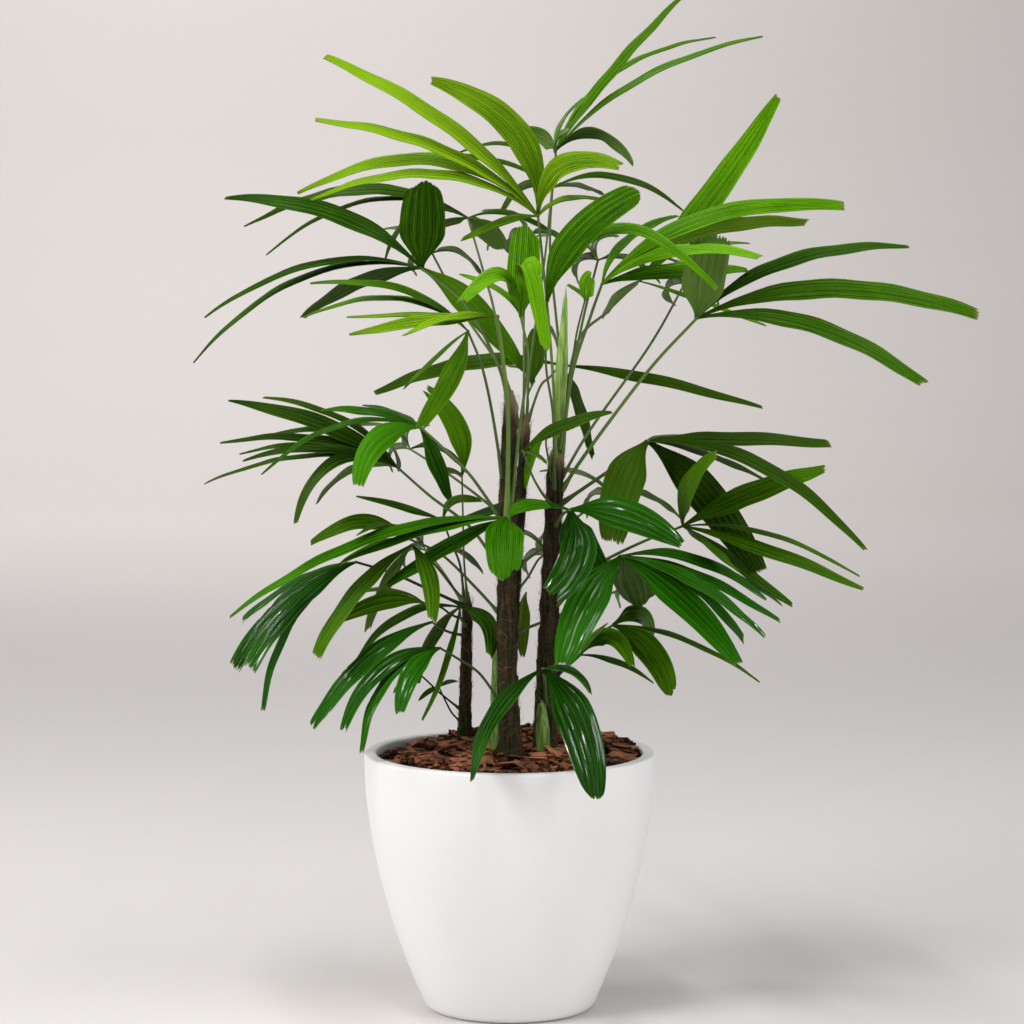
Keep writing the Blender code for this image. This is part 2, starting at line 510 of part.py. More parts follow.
def blade(plan, leaf, lean, margin=0.0, start=0.0):
    """One leaflet, or its stretch past start, as a thin closed blade with a low ridge, as a bmesh."""
    curve = leaflet_curve(plan, leaf, lean)
    full = max(plan.blade, abs(leaf.width)) * MM
    tilt = abs(leaf.width) * MM / full
    facing = math.copysign(1.0, leaf.width)
    length = (curve(1.0) - curve(0.5)).length + (curve(0.5) - curve(0.0)).length
    thick = max(length * BLADE_THICKNESS_SHARE, BLADE_LEAST_THICKNESS) + 2 * margin
    bm = bmesh.new()
    rings = []
    for t, share in BLADE_STATIONS:
        if t < start:
            continue
        centre, wide, normal = blade_frame(curve, t, tilt, facing)
        if t == 0.0:
            centre = centre + (curve(CURVE_STEP) - curve(0.0)).normalized() * BLADE_ROOT
        half = full * share / 2 + margin
        low = centre - normal * (thick * BLADE_UNDER + margin)
        rings.append([bm.verts.new(low - wide * half), bm.verts.new(low + wide * half),
            bm.verts.new(low + normal * thick)])
    for first, second in zip(rings, rings[1:]):
        for index in range(3):
            after = (index + 1) % 3
            bm.faces.new((first[index], first[after], second[after], second[index]))
    bm.faces.new(rings[0])
    bm.faces.new(rings[-1])
    bmesh.ops.triangulate(bm, faces=bm.faces)
    bmesh.ops.recalc_face_normals(bm, faces=bm.faces)
    return bm


def stalk_points(plan, lean, reach):
    """The stalk's middle line, from its hub to a point this far from the middle of its cane."""
    seat = cane_centre(CANES[plan.cane], plan.seat * MM)
    depth = plan.hub[2] * MM
    points = [placed(*plan.hub[:2], depth)]
    for index, (across, up) in enumerate(plan.stalk):
        share = (index + 1) / (len(plan.stalk) + 1)
        points.append(placed(across, up, depth + (seat.y - depth) * share + lean))
    side = points[-1] - seat
    side.z = 0
    points.append(seat + side.normalized() * reach)
    return points


def stalk(plan, lean, reach, margin=0.0):
    """The stalk as a closed tube that stops just off its cane."""
    points = smooth_path(stalk_points(plan, lean, reach), STALK_ROWS)
    shares = [STALK_TOP + STALK_WIDENING * row / (STALK_ROWS - 1) for row in range(STALK_ROWS)]
    radii = [plan.radius * MM * share + margin for share in shares]
    return tube(points, radii, STALK_SIDES)


def seated_reach(plan, lean, tree):
    """How far from the middle of its cane the stalk ends, so that it lies just off the cane's side."""
    reach = cane_radius(CANES[plan.cane], plan.seat * MM) + SEAT_START * plan.radius * MM
    for _ in range(SEAT_ROUNDS):
        trial = stalk(plan, lean, reach)
        gap = min(tree.find_nearest(vert.co)[3] for vert in trial.verts)
        trial.free()
        reach += SEAT_GAP - gap
    return reach


def leans():
    """Depth shifts to try, smallest first, to either side in turn."""
    yield 0.0
    for step in range(1, SETTLE_TRIES):
        yield step * SETTLE_STEP
        yield -step * SETTLE_STEP


class Room:
    """What stands already, so that the next piece can be kept clear of it."""

    def __init__(self):
        self.standing = []

    def add(self, owner, bm, outer=None):
        self.standing.append((owner, reach_of(bm), BVHTree.FromBMesh(bm), outer and BVHTree.FromBMesh(outer)))

    def tree_of(self, owner):
        """The first piece that stands under this name."""
        return next(tree for name, _, tree, _ in self.standing if name == owner)

    def free(self, owner, bm, outer=None):
        """True where it touches nothing of another owner, nor its outer stretch another one of its own."""
        reach = reach_of(bm)
        whole = BVHTree.FromBMesh(bm)
        far = outer and BVHTree.FromBMesh(outer)
        for other, other_reach, tree, other_far in self.standing:
            if any(reach[0][i] > other_reach[1][i] or reach[1][i] < other_reach[0][i] for i in range(3)):
                continue
            if other != owner and whole.overlap(tree):
                return False
            if other == owner and far and other_far and far.overlap(other_far):
                return False
        return True


def reach_of(bm):
    """The lowest and highest corners of a bmesh's box."""
    columns = list(zip(*(vert.co for vert in bm.verts)))
    return [min(column) for column in columns], [max(column) for column in columns]


def settled_stalk(room, name, plan):
    """The stalk at the smallest lean that keeps it clear, or None."""
    for lean in leans():
        reach = seated_reach(plan, lean, room.tree_of(plan.cane))
        trial = stalk(plan, lean, reach, STALK_MARGIN)
        clear = room.free(name, trial)
        trial.free()
        if clear:
            return stalk(plan, lean, reach)
    return None


def settled_blade(room, name, plan, leaf):
    """The leaflet at the smallest lean that keeps it clear, noted in the room, or None."""
    for lean in leans():
        trial = blade(plan, leaf, lean, SETTLE_MARGIN)
        outer = blade(plan, leaf, lean, SETTLE_MARGIN, BLADE_APART)
        clear = room.free(name, trial, outer)
        trial.free()
        if clear:
            made = blade(plan, leaf, lean)
            room.add(name, made, outer)
            return made
    return None


def room_of_standing(objects):
    room = Room()
    for made in objects:
        bm = bmesh.new()
        bm.from_mesh(made.data)
        room.add(made.name, bm)
        bm.free()
    return room


def frond_pieces(room):
    """Each fan's stalk first, then its leaflets, all clear of one another and of the canes and the pot."""
    pieces = {name: [] for name in FANS}
    for name, plan in FANS.items():
        made = settled_stalk(room, name, plan)
        room.add(name, made)
        hub = bmesh.new()
        bmesh.ops.create_icosphere(hub, subdivisions=1, radius=plan.radius * MM * HUB_SHARE)
        bmesh.ops.translate(hub, verts=hub.verts, vec=placed(*plan.hub[:2], plan.hub[2] * MM))
        room.add(name, hub)
        pieces[name] += [made, hub]
    for name, plan in FANS.items():
        for leaf in plan.leaflets:
            made = settled_blade(room, name, plan, leaf)
            if made is not None:
                pieces[name].append(made)
    return pieces


def whole_body(mesh):
    """Keeps the largest shell, so a sealed hollow is filled and a scrap dropped; True where it is closed."""
    bm = bmesh.new()
    bm.from_mesh(mesh)
    left = set(bm.verts)
    shells = []
    while left:
        shell, edge = set(), [left.pop()]
        while edge:
            vert = edge.pop()
            shell.add(vert)
            near = {link.other_vert(vert) for link in vert.link_edges} & left
            left -= near
            edge += near
        shells.append(shell)
    shells.sort(key=len)
    bmesh.ops.delete(bm, geom=[vert for shell in shells[:-1] for vert in shell], context="VERTS")
    closed = bool(bm.faces) and all(edge.is_manifold for edge in bm.edges)
    bm.to_mesh(mesh)
    bm.free()
    return closed


def frond(name, parts, finish):
    """Joins a fan's stalk and leaflets into one solid."""
    first = finished(name, parts[0], finish)
    helpers = bpy.data.collections.new(name + "_parts")
    bpy.context.scene.collection.children.link(helpers)
    for number, bm in enumerate(parts[1:]):
        helper = finished(f"{name}_{number}", bm, finish)
        bpy.context.scene.collection.objects.unlink(helper)
        helpers.objects.link(helper)
    join = first.modifiers.new("join", "BOOLEAN")
    join.operation = "UNION"
    join.operand_type = "COLLECTION"
    join.collection = helpers
    for solver in ("MANIFOLD", "EXACT"):
        join.solver = solver
        graph = bpy.context.evaluated_depsgraph_get()
        mesh = bpy.data.meshes.new_from_object(first.evaluated_get(graph))
        if whole_body(mesh):
            break
    first.modifiers.clear()
    first.data = mesh
    for helper in list(helpers.objects):
        bpy.data.objects.remove(helper, do_unlink=True)
    bpy.data.collections.remove(helpers)
    mesh.shade_smooth()
    mesh.set_sharp_from_angle(angle=math.radians(30))
    return first


def main():
    clear_scene()
    standing = [pot(), mulch()]
    standing += [cane_solid(name, cane) for name, cane in CANES.items()]
    standing += [shoot_solid(name, shoot) for name, shoot in SHOOTS.items()]
    pieces = frond_pieces(room_of_standing(standing))
    for name, parts in pieces.items():
        finish = material(name + "_leaf", (0.06, 0.16, 0.02), 0.45)
        frond(name, parts, finish)


main()
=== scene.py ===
"""The looks of a potted lady palm: fine pleated leaflets, fibrous canes, bark mulch and a white pot.

Metres, +Z up. The origin is the centre of the pot's flat underside.
"""

import math
import random
from collections import namedtuple

import bmesh
import bpy
from mathutils import Matrix, Vector, noise
from mathutils.bvhtree import BVHTree


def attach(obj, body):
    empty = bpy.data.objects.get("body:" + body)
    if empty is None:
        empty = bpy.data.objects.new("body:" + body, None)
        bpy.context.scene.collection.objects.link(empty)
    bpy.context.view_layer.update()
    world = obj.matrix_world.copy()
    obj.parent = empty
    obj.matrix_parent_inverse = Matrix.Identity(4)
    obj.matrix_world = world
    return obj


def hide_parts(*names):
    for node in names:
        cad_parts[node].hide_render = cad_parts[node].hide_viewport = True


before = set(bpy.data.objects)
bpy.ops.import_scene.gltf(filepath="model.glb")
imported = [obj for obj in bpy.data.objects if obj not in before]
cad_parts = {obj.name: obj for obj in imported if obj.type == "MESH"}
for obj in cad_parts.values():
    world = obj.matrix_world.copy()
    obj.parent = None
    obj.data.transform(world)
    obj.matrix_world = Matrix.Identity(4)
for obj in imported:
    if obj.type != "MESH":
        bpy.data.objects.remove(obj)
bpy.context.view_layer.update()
MM = 0.001

# Pot and mulch, as the frame has them
POT_HEIGHT = 0.258
POT_FOOT_RADIUS = 0.083
POT_RIM_RADIUS = 0.145
POT_FOOT_CORNER = 0.007
POT_WALL = 0.0125
POT_BULGE = 1.9
POT_FLOOR = 0.012
POT_LIP = 0.003
POT_SIDES = 144
POT_ROWS = 28
CORNER_STEPS = 6
MULCH_LEVEL = 0.2500
MULCH_MOUND = 0.0095
MULCH_BANK = 0.010
MULCH_BANK_RUN = 0.055
MULCH_BANK_FROM = 0.033
MULCH_BANK_SKEW = 0.5
CANE_SEAT = 0.2570
CANE_FLARE = 1.16
CANE_FLARE_HEIGHT = 0.022

# The angle in degrees past which an edge is sharp: on most pieces, on the pot and on the flakes of bark
CREASE = 50
POT_CREASE = 60
CHIP_CREASE = 35

Cane = namedtuple("Cane", "foot top height bow foot_radius top_radius")
Shoot = namedtuple("Shoot", "foot top low high radii")
Leaflet = namedtuple("Leaflet", "across up arch width side swing rise", defaults=(0.0, 0.0))
Fan = namedtuple("Fan", "hub length blade cane seat stalk radius leaflets")
CANES = {
    "cane_left": Cane((-0.046, 0.057), (-0.042, 0.050), 0.412, 0.0, 0.0068, 0.0048),
    "cane_middle": Cane((0.001, -0.036), (0.002, -0.030), 0.620, -0.0045, 0.0110, 0.0070),
    "cane_right": Cane((0.035, 0.006), (0.047, 0.006), 0.566, -0.0005, 0.0115, 0.0078),
    "cane_rear": Cane((-0.006, 0.034), (0.017, 0.040), 0.592, 0.0, 0.0070, 0.0050),
}

# A green piece of one cane's foot, a young shoot and the unopened leaf
SHOOTS = {
    "sheath_right": Shoot((0.033, -0.021), (0.032, -0.017), CANE_SEAT, 0.312, (0.0062, 0.0066, 0.0030)),
    "shoot_middle": Shoot((-0.014, -0.003), (-0.015, 0.008), CANE_SEAT, 0.366, (0.0046, 0.0042, 0.0012)),
    "spear_leaf": Shoot((0.0475, 0.006), (0.0560, 0.006), 0.5664, 0.722, (0.0045, 0.0058, 0.0010)),
}


def fan(hub, length, blade, cane, seat, stalk, radius, *leaflets):
    """One fan of the plan, with its leaflets given as plain rows."""
    return Fan(hub, length, blade, cane, seat, stalk, radius, tuple(Leaflet(*row) for row in leaflets))


# The far fans' leaflets by turns: how far up the tip lies and what is seen of the width; then their arch, how
# much less the outer ones reach away, and the stalk's radius
FAR_LEAFLETS = ((24, 8), (-22, 12))
FAR_ARCH = 12
FAR_TURN = 0.35
FAR_STALK = 1.9


def far_fan(hub, length, blade, cane, seat, stalk, spread, count=4):
    """A fan on the far side of the crown: its leaflets spread evenly and reach away from the eye."""
    rows = []
    for index in range(count):
        turn = 2 * index / (count - 1) - 1
        up, width = FAR_LEAFLETS[index % 2]
        rows.append((spread * turn, up, FAR_ARCH, width, 1 - FAR_TURN * abs(turn)))
    return fan(hub, length, blade, cane, seat, stalk, FAR_STALK, *rows)


FANS = {
    "frond_top_bright": fan((28, 789, -50), 200, 30, "cane_right", 552, ((38, 690), (44, 610)), 2.2,
        (-108, 136, 36, 27, -0.2), (-214, 160, 20, 14, 0.0), (-223, 96, 24, 11, -0.3),
        (-241, 22, 48, 13, -0.2), (-228, 16, 36, 9, 0.3), (84, 50, 32, 22, -0.4), (65, 17, 10, 10, 0.7),
        (-77, -24, 6, 9, 0.2)),
    "frond_top_tall": fan((46, 855, 40), 250, 26, "cane_right", 540, ((40, 760), (50, 640)), 2.0,
        (134, 161, 8, 10, 0.2), (207, 114, 22, 6, -0.1), (160, 113, 30, 5, 0.3), (78, -15, 24, -14, -0.3),
        (-34, 18, 6, -18, 0.12), (11, 18, 4, 10, -0.3), (27, 52, 8, 7, 0.5)),
    "frond_left_high": fan((-89, 737, 60), 215, 36, "cane_middle", 602, ((-45, 700), (-12, 640)), 2.0,
        (3, 90, 0, 46, -0.3), (-197, 70, 24, 17, -0.1), (103, -102, 10, 27, 0.3), (-217, -50, 29, 6, 0.2),
        (-228, -95, 38, 6, -0.3), (-119, -50, 12, -17, 0.5)),
    "frond_left_upper": fan((-42, 787, 75), 230, 28, "cane_middle", 610, ((-27, 735), (-15, 690)), 1.9,
        (-224, -9, 34, 11, 0.1), (-202, -37, 36, 4, 0.4), (37, -34, 4, -22, 0.1), (92, -22, 15, 6, 0.3),
        (-84, -45, 30, 9, 0.6), (20, -32, 8, 6, 0.5), (-50, -24, 6, -12, 0.25)),
    "frond_back_upper": fan((42, 817, 120), 180, 22, "cane_rear", 580, ((34, 740), (20, 640)), 1.8,
        (132, -23, 23, 7, 0.2), (52, -6, 6, 12, 0.8), (-97, 34, 28, 4, 0.4), (-152, 23, 20, 5, 0.1),
        (-52, -25, 14, 14, 0.6)),
    "frond_centre_bright": fan((11, 688, -95), 150, 30, "cane_middle", 500, ((18, 645), (10, 580)), 2.2,
        (5, 95, 0, 32, 0.2), (-61, 14, 36, 17, -0.5), (-61, 43, 10, 8, 0.6), (26, -35, 0, 17, -0.4, -6, 130)),
    "frond_centre_broad": fan((37, 703, -70), 190, 30, "cane_right", 520, ((36, 640), (43, 590)), 2.0,
        (95, 112, 20, 30, -0.4), (171, 12, 70, 11, -0.2, -8)),
    "frond_right_lime": fan((92, 721, -25), 250, 30, "cane_right", 556, ((81, 690), (62, 630)), 2.2,
        (244, 78, 33, 16, -0.1), (207, 62, 24, -16, 0.4), (160, 27, 22, 12, -0.5), (74, 69, 16, 14, 0.7),
        (147, 41, 14, 6, 0.6), (146, 14, 8, 16, 0.3)),
    "frond_right_tall": fan((129, 724, 70), 240, 30, "cane_right", 546, ((98, 694), (65, 656)), 2.0,
        (140, 186, -6, 27, 0.1), (127, -45, 3, 4, 0.3), (-34, -35, 5, -18, 0.5)),
    "frond_right_long": fan((187, 687, 0), 285, 32, "cane_right", 518, ((139, 635), (77, 553)), 2.2,
        (16, 91, 0, -42, -0.3), (212, 72, 26, 14, 0.5), (283, 4, 29, 19, 0.0), (229, -67, 27, 16, -0.4)),
    "frond_front_light": fan((-13, 688, -115), 160, 26, "cane_middle", 490, ((-8, 652), (-2, 590)), 3.2,
        (-151, 0, 3, 4, 0.2), (-148, -18, 6, 12, -0.1), (-94, -19, 10, 8, -0.5)),
    "frond_left_arched": fan((-42, 674, -60), 180, 28, "cane_middle", 535, ((-28, 638), (-18, 593)), 1.9,
        (-50, -99, -4, 21, -0.4), (-64, -58, 3, 4, 0.3), (-158, 47, 22, 7, -0.2), (-165, 13, 28, 5, 0.3)),
    "frond_back_dusk": fan((50, 640, 135), 210, 24, "cane_rear", 585, ((40, 628), (30, 618)), 1.8,
        (-187, -29, 17, 15, 0.2), (203, -43, 6, 11, 0.1), (33, -93, 5, 15, 0.5), (-10, 40, 3, 9, 0.7)),
    "frond_back_small": fan((22, 620, 80), 110, 24, "cane_rear", 572, ((18, 610), (18, 600)), 1.7,
        (6, 60, 2, 22, 0.3), (-24, 20, 6, 10, 0.8)),
    "frond_bud_small": fan((75, 705, -75), 70, 20, "cane_right", 560, ((66, 668), (60, 620)), 1.7,
        (7, 28, 2, 18, -0.5), (-17, 16, 2, 8, 0.5)),
    "frond_centre_dark": fan((13, 554, -80), 105, 20, "cane_right", 505, ((22, 530), (32, 512)), 1.7,
        (90, 39, 8, 12, -0.2), (22, -12, 3, 10, -0.6)),
    "frond_centre_strap": fan((38, 574, -42), 76, 16, "cane_right", 528, ((36, 562), (38, 548)), 1.6,
        (-23, -58, 6, 9, -0.4), (-10, -24, 4, 7, 0.5)),
    "frond_left_cluster": fan((-113, 538, -20), 200, 26, "cane_middle", 445, ((-80, 509), (-40, 478)), 1.9,
        (-169, 66, 14, 16, 0.2), (-134, 70, 18, 7, 0.6), (-177, 24, 18, 8, 0.0), (-158, 13, 17, 6, 0.35),
        (-155, 6, 17, 8, -0.3), (-193, -17, 20, 4, -0.25), (-102, -57, 36, 14, -0.4), (-81, -37, 17, -10, 0.6),
        (-4, 21, 2, 10, 0.6), (-131, 31, 22, 9, 0.7)),
    "frond_left_glow": fan((-90, 578, -60), 170, 26, "cane_middle", 494, ((-70, 560), (-40, 530)), 1.9,
        (-62, -60, 20, 25, -0.5), (-57, 22, 5, 7, 0.6), (-99, 17, 8, 9, 0.3), (-159, -48, 26, 5, -0.1),
        (31, -73, 2, 19, 0.4)),
    "frond_left_spoon": fan((-48, 530, -10), 110, 22, "cane_left", 408, ((-47, 485), (-46, 445)), 1.6,
        (-38, 88, 14, 22, -0.3), (-22, 0, 4, -15, 0.5)),
    "frond_left_short": fan((-103, 467, -10), 130, 24, "cane_middle", 400, ((-68, 450), (-34, 417)), 1.8,
        (-97, -6, 20, 15, 0.1), (-50, 3, 12, 6, -0.6), (-68, -28, 6, 9, -0.5)),
    "frond_left_slim": fan((-67, 485, 60), 110, 20, "cane_left", 404, ((-60, 465), (-50, 440)), 1.6,
        (-87, 24, 2, 7, 0.2), (39, 19, 13, 11, 0.4)),
    "frond_front_long": fan((-2, 487, -75), 295, 28, "cane_middle", 470, ((-2, 486), (-1, 483)), 2.6,
        (-279, -99, 28, 10, -0.1), (-3, -66, 2, 38, -0.2, 0, 24), (42, 14, 6, 14, 0.1),
        (-124, -70, 6, 15, 0.25), (-167, -45, 10, 9, 0.05)),
    "frond_left_glossy": fan((-154, 443, -20), 180, 26, "cane_left", 398, ((-118, 432), (-80, 415)), 1.9,
        (-116, -60, 11, 7, 0.5), (-124, -108, 18, 15, 0.1), (-110, -110, 13, 15, -0.35),
        (-94, -150, 24, 8, -0.5)),
    "frond_left_olive": fan((-98, 460, -50), 165, 24, "cane_left", 402, ((-75, 440), (-55, 415)), 1.8,
        (-98, -113, 12, 15, -0.2), (-45, -86, 6, -13, 0.4), (20, -76, 9, 19, -0.3)),
    "frond_left_low": fan((-86, 402, -20), 100, 20, "cane_left", 384, ((-70, 398), (-58, 390)), 1.5,
        (-89, -20, 11, 17, -0.2), (-80, 6, 11, 4, 0.4)),
    "frond_left_crown": fan((-50, 398, 20), 140, 24, "cane_left", 378, ((-50, 393), (-49, 386)), 1.7,
        (29, -50, 16, 20, -0.5), (-105, -55, 20, 9, 0.1), (-42, -77, 10, -12, 0.5), (-38, -114, -4, 6, -0.2)),
    "frond_left_bow": fan((-78, 383, -40), 170, 24, "cane_left", 368, ((-70, 377), (-58, 372)), 1.7,
        (-121, -106, 15, 18, -0.1)),
    "frond_left_claw": fan((-70, 357, -75), 150, 22, "cane_middle", 312, ((-50, 345), (-30, 331)), 1.7,
        (-98, -84, 23, 15, 0.1), (-79, -107, 24, 10, -0.3), (-40, -66, 12, 20, -0.5)),
    "frond_seedling_left": fan((-95, 334, 20), 50, 10, "cane_left", 292, ((-86, 327), (-70, 312)), 1.3,
        (-38, -7, 3, 5, 0.3), (-22, -22, 3, 5, 0.7)),
    "frond_seedling_low": fan((-71, 318, 46), 34, 8, "cane_left", 280, ((-65, 305), (-58, 292)), 1.2,
        (-20, -14, 2, 5, 0.3), (19, 6, 2, 4, -0.5)),
    "frond_right_fan": fan((138, 564, 0), 250, 34, "cane_right", 505, ((115, 545), (90, 528)), 2.1,
        (-36, -105, 8, 40, -0.25, 0, 8), (182, -2, 5, 14, 0.3), (42, 5, 3, 7, 0.6), (218, -110, 31, 13, 0.0),
        (118, -39, 7, 9, 0.6), (113, -134, 9, 37, 0.5)),
    "frond_right_spread": fan((173, 479, 40), 205, 30, "cane_right", 424, ((130, 462), (85, 440)), 2.0,
        (34, 73, 13, 21, -0.3), (143, 58, 6, 22, -0.2), (177, -51, 17, 4, 0.1), (181, -63, 6, 13, -0.3),
        (110, -80, 2, 15, 0.5), (55, -46, 3, 10, -0.6)),
    "frond_right_near": fan((60, 495, -55), 150, 30, "cane_right", 484, ((56, 493), (52, 490)), 2.1,
        (113, -35, 12, 31, -0.4), (-22, -88, -18, 36, -0.5), (36, -66, -8, 36, 0.3),
        (-118, -14, 12, 14, 0.4)),
    "frond_right_glossy": fan((112, 449, -45), 200, 34, "cane_right", 404, ((95, 440), (70, 422)), 2.1,
        (-60, -111, 9, 38, -0.5), (118, -109, 10, 28, -0.4), (145, -43, 19, 11, 0.35), (160, -49, 20, 5, 0.55),
        (159, -66, 12, 10, 0.0), (122, -84, 18, 13, 0.6), (144, -82, 15, 11, 0.2), (20, -52, 4, 44, 0.6)),
    "frond_right_low": fan((103, 380, 20), 165, 28, "cane_right", 332, ((85, 368), (70, 350)), 1.8,
        (59, -73, 13, 27, -0.3), (147, -57, 13, 5, 0.2), (36, -22, 22, 24, 0.5)),
    "frond_right_nub": fan((70, 350, 0), 110, 22, "cane_right", 320, ((60, 343), (50, 332)), 1.6,
        (53, -12, 25, 18, -0.3), (74, -28, 7, 6, 0.3), (28, 32, 3, 6, -0.4)),
    "frond_front_glossy": fan((33, 336, -80), 190, 36, "cane_right", 306, ((34, 331), (35, 322)), 2.1,
        (-71, -112, 18, 19, -0.8), (53, -133, 8, 38, -0.9, 4, 12), (48, -25, 12, 9, -0.2)),
    "frond_old_leaf": fan((16, 412, 76), 80, 15, "cane_rear", 382, ((14, 409), (10, 400)), 1.5,
        (-3, -66, 2, 15, 0.2)),
    "frond_far_crest": far_fan((18, 770, 150), 200, 28, "cane_rear", 574, ((14, 700), (14, 630)), 46),
    "frond_far_right_high": far_fan((88, 745, 150), 220, 28, "cane_right", 536, ((74, 690), (58, 610)), 62),
    "frond_far_right_edge": far_fan((175, 722, 130), 220, 28, "cane_right", 526, ((140, 660), (80, 575)), 34),
    "frond_far_left_high": far_fan((-78, 752, 160), 210, 28, "cane_rear", 566, ((-45, 690), (-6, 630)), 50),
    "frond_far_right_mid": far_fan((100, 510, 150), 210, 28, "cane_rear", 440, ((70, 490), (36, 460)), 70),
    "frond_far_right_low": far_fan((130, 420, 150), 190, 26, "cane_rear", 372, ((90, 408), (45, 388)), 62),
    "frond_far_left_mid": far_fan((-100, 556, 150), 200, 26, "cane_rear", 470, ((-60, 530), (-15, 495)), 56),
    "frond_far_left_low": far_fan((-85, 455, 160), 190, 26, "cane_left", 392, ((-72, 440), (-56, 416)), 58),
    "frond_far_centre": far_fan((35, 450, 150), 170, 26, "cane_rear", 412, ((28, 445), (18, 428)), 50),
}

# How light each leaflet of a fan is, from 0 to 1, where the fan has more than one green: partly its own green,
# partly painted shade on leaflets in shadow and painted light on some turned from the lamps
LEAF_TONES_AND_SHADE = {
    "frond_top_bright": (0.35, 0.8, 0.9, 0.6, 0.8, 0.4, 0.3, 0.15),
    "frond_top_tall": (0.5, 0.45, 0.55, 0.45, 0.95, 0.5, 0.4),
    "frond_left_high": (0.25, 0.0, 0.9, 0.0, 0.0, 0.1),
    "frond_left_upper": (0.4, 0.5, 0.95, 0.45, 0.4, 0.5, 0.4),
    "frond_centre_bright": (0.2, 0.5, 0.5, 0.7),
    "frond_centre_broad": (0.12, 0.3),
    "frond_right_lime": (0.35, 0.6, 0.7, 0.25, 0.5, 0.4),
    "frond_right_long": (0.95, 0.1, 0.3, 0.25),
    "frond_left_glow": (0.95, 0.15, 0.25, 0.15, 0.25),
    "frond_left_spoon": (0.85, 0.45),
    "frond_front_glossy": (0.25, 0.15, 0.3),
    "frond_left_glossy": (0.4, 0.2, 0.25, 0.35),
    "frond_left_cluster": (0.2, 0.3, 0.25, 0.35, 0.2, 0.3, 0.3),
    "frond_front_long": (0.6, 0.55, 0.8, 0.5, 0.7),
    "frond_right_fan": (0.9, 0.55, 0.4, 0.5, 0.35, 0.4),
    "frond_right_near": (0.55, 0.2, 0.3, 0.45),
    "frond_right_spread": (1.0, 0.65, 0.4, 0.45, 0.3, 0.3),
    "frond_right_glossy": (0.8, 0.85, 0.5, 0.45, 0.5, 0.45, 0.5, 0.3),
    "frond_right_low": (0.35, 0.3, 0.35),
}

# How wide the cut end of a leaflet is as a share of its width, where it isn't what its shape gives
LEAF_ENDS = {
    "frond_top_bright": (0.3, 0.36, 0.22, 0.2, 0.2),
    "frond_left_high": (0.6, 0.1, 0.2, 0.18),
    "frond_left_upper": (0.1, 0.12),
    "frond_centre_bright": (0.7, 0.5, None, 0.6),
    "frond_centre_broad": (0.75, 0.4),
    "frond_right_lime": (0.5, 0.42, 0.45),
    "frond_right_tall": (0.3,),
    "frond_right_long": (0.9, 0.24, 0.6, 0.5),
    "frond_left_cluster": (0.1, 0.2, 0.16),
    "frond_left_glow": (0.45,),
    "frond_left_glossy": (0.7, 0.95, 0.95, 0.5),
    "frond_left_olive": (0.75, 0.5, 0.5),
    "frond_left_claw": (0.5, 0.4, 0.5),
    "frond_left_bow": (0.4,),
    "frond_front_long": (0.16, 0.62, 0.4),
    "frond_right_fan": (0.6, 0.5),
    "frond_right_near": (0.32, 0.6, 0.5, 0.3),
    "frond_right_glossy": (0.42, 0.34, 0.3, 0.3, 0.3, 0.4, 0.3),
    "frond_front_glossy": (0.14, 0.48),
    "frond_right_spread": (0.4, 0.36),
}

# Leaflets with a rounded end, and those that turn their dull side both ways
ROUND_LEAVES = {
    ("frond_left_high", 0), ("frond_centre_bright", 0), ("frond_centre_bright", 3), ("frond_right_low", 0),
    ("frond_centre_broad", 0), ("frond_front_glossy", 1),
}
DULL_LEAVES = {("frond_right_glossy", 7)}

# How light each young shoot is
SHOOT_TONES = {"sheath_right": 0.35, "shoot_middle": 0.55, "spear_leaf": 0.95}

# How light a fan's stalk is, where it isn't plain green
STALK_TONES = {
    "frond_left_claw": 0.12, "frond_left_glossy": 0.15, "frond_seedling_left": 0.05, "frond_seedling_low": 0.05,
    "frond_left_low": 0.2, "frond_left_crown": 0.3, "frond_left_bow": 0.2, "frond_left_olive": 0.3,
    "frond_left_short": 0.3, "frond_left_slim": 0.3, "frond_right_nub": 0.15, "frond_right_low": 0.2,
    "frond_front_light": 0.9, "frond_right_long": 0.75, "frond_centre_bright": 0.7, "frond_top_bright": 0.7,
}

# The sheet of millimetres that the fans are laid out on, square to the line of sight, as in the part's source
EYE = Vector((0.0025, -3.457, 0.8096))
SIGHT_PITCH = math.radians(5.16)
SHEET_DISTANCE = 3.5
SHEET_CENTRE = (2.0, 493.0)
CONTROL_SHARE = 0.42

# The leans that are tried for a leaflet or stalk, and where the frame's solid has to lie near it
SETTLE_STEP = 0.007
SETTLE_TRIES = 18
BLADE_PLACES = (0.42, 0.75, 1.0)
BLADE_NEAR = 0.0016
STALK_PLACES = (0.3, 0.5, 0.7, 0.85)

# Leaflets: how finely they are bent, and how many ribs they have
LEAF_ROWS = 26
BESIDE = 0.02
COLUMNS_PER_RIB = 4
RIB_SPACING = 0.0066
FEWEST_RIBS = 3
MOST_RIBS = 6
FLAT_DEPTH = 0.01
LEAF_THICKNESS = 0.0005

# Their pleats and their camber, and what is left of each where a leaflet is narrowest or seen edge on
PLEAT_DEPTH = 0.00072
PLEAT_LEAST = 0.35
CAMBER = 0.20
CAMBER_LEAST = 0.4

# Their width: a narrow root, the widest place and the taper to the cut end, wider on a broad or stubby one
ROOT_SHARE = 0.13
WIDEST_AT = 0.42
TAPER = 2.3
END_WIDTH = (0.14, 0.42)
END_WIDTH_FROM = 5
END_WIDTH_RUN = 20
END_SPREAD = 0.06
END_STUBBY = 0.16
STUBBY_FROM = 0.3
STUBBY_RUN = 0.3

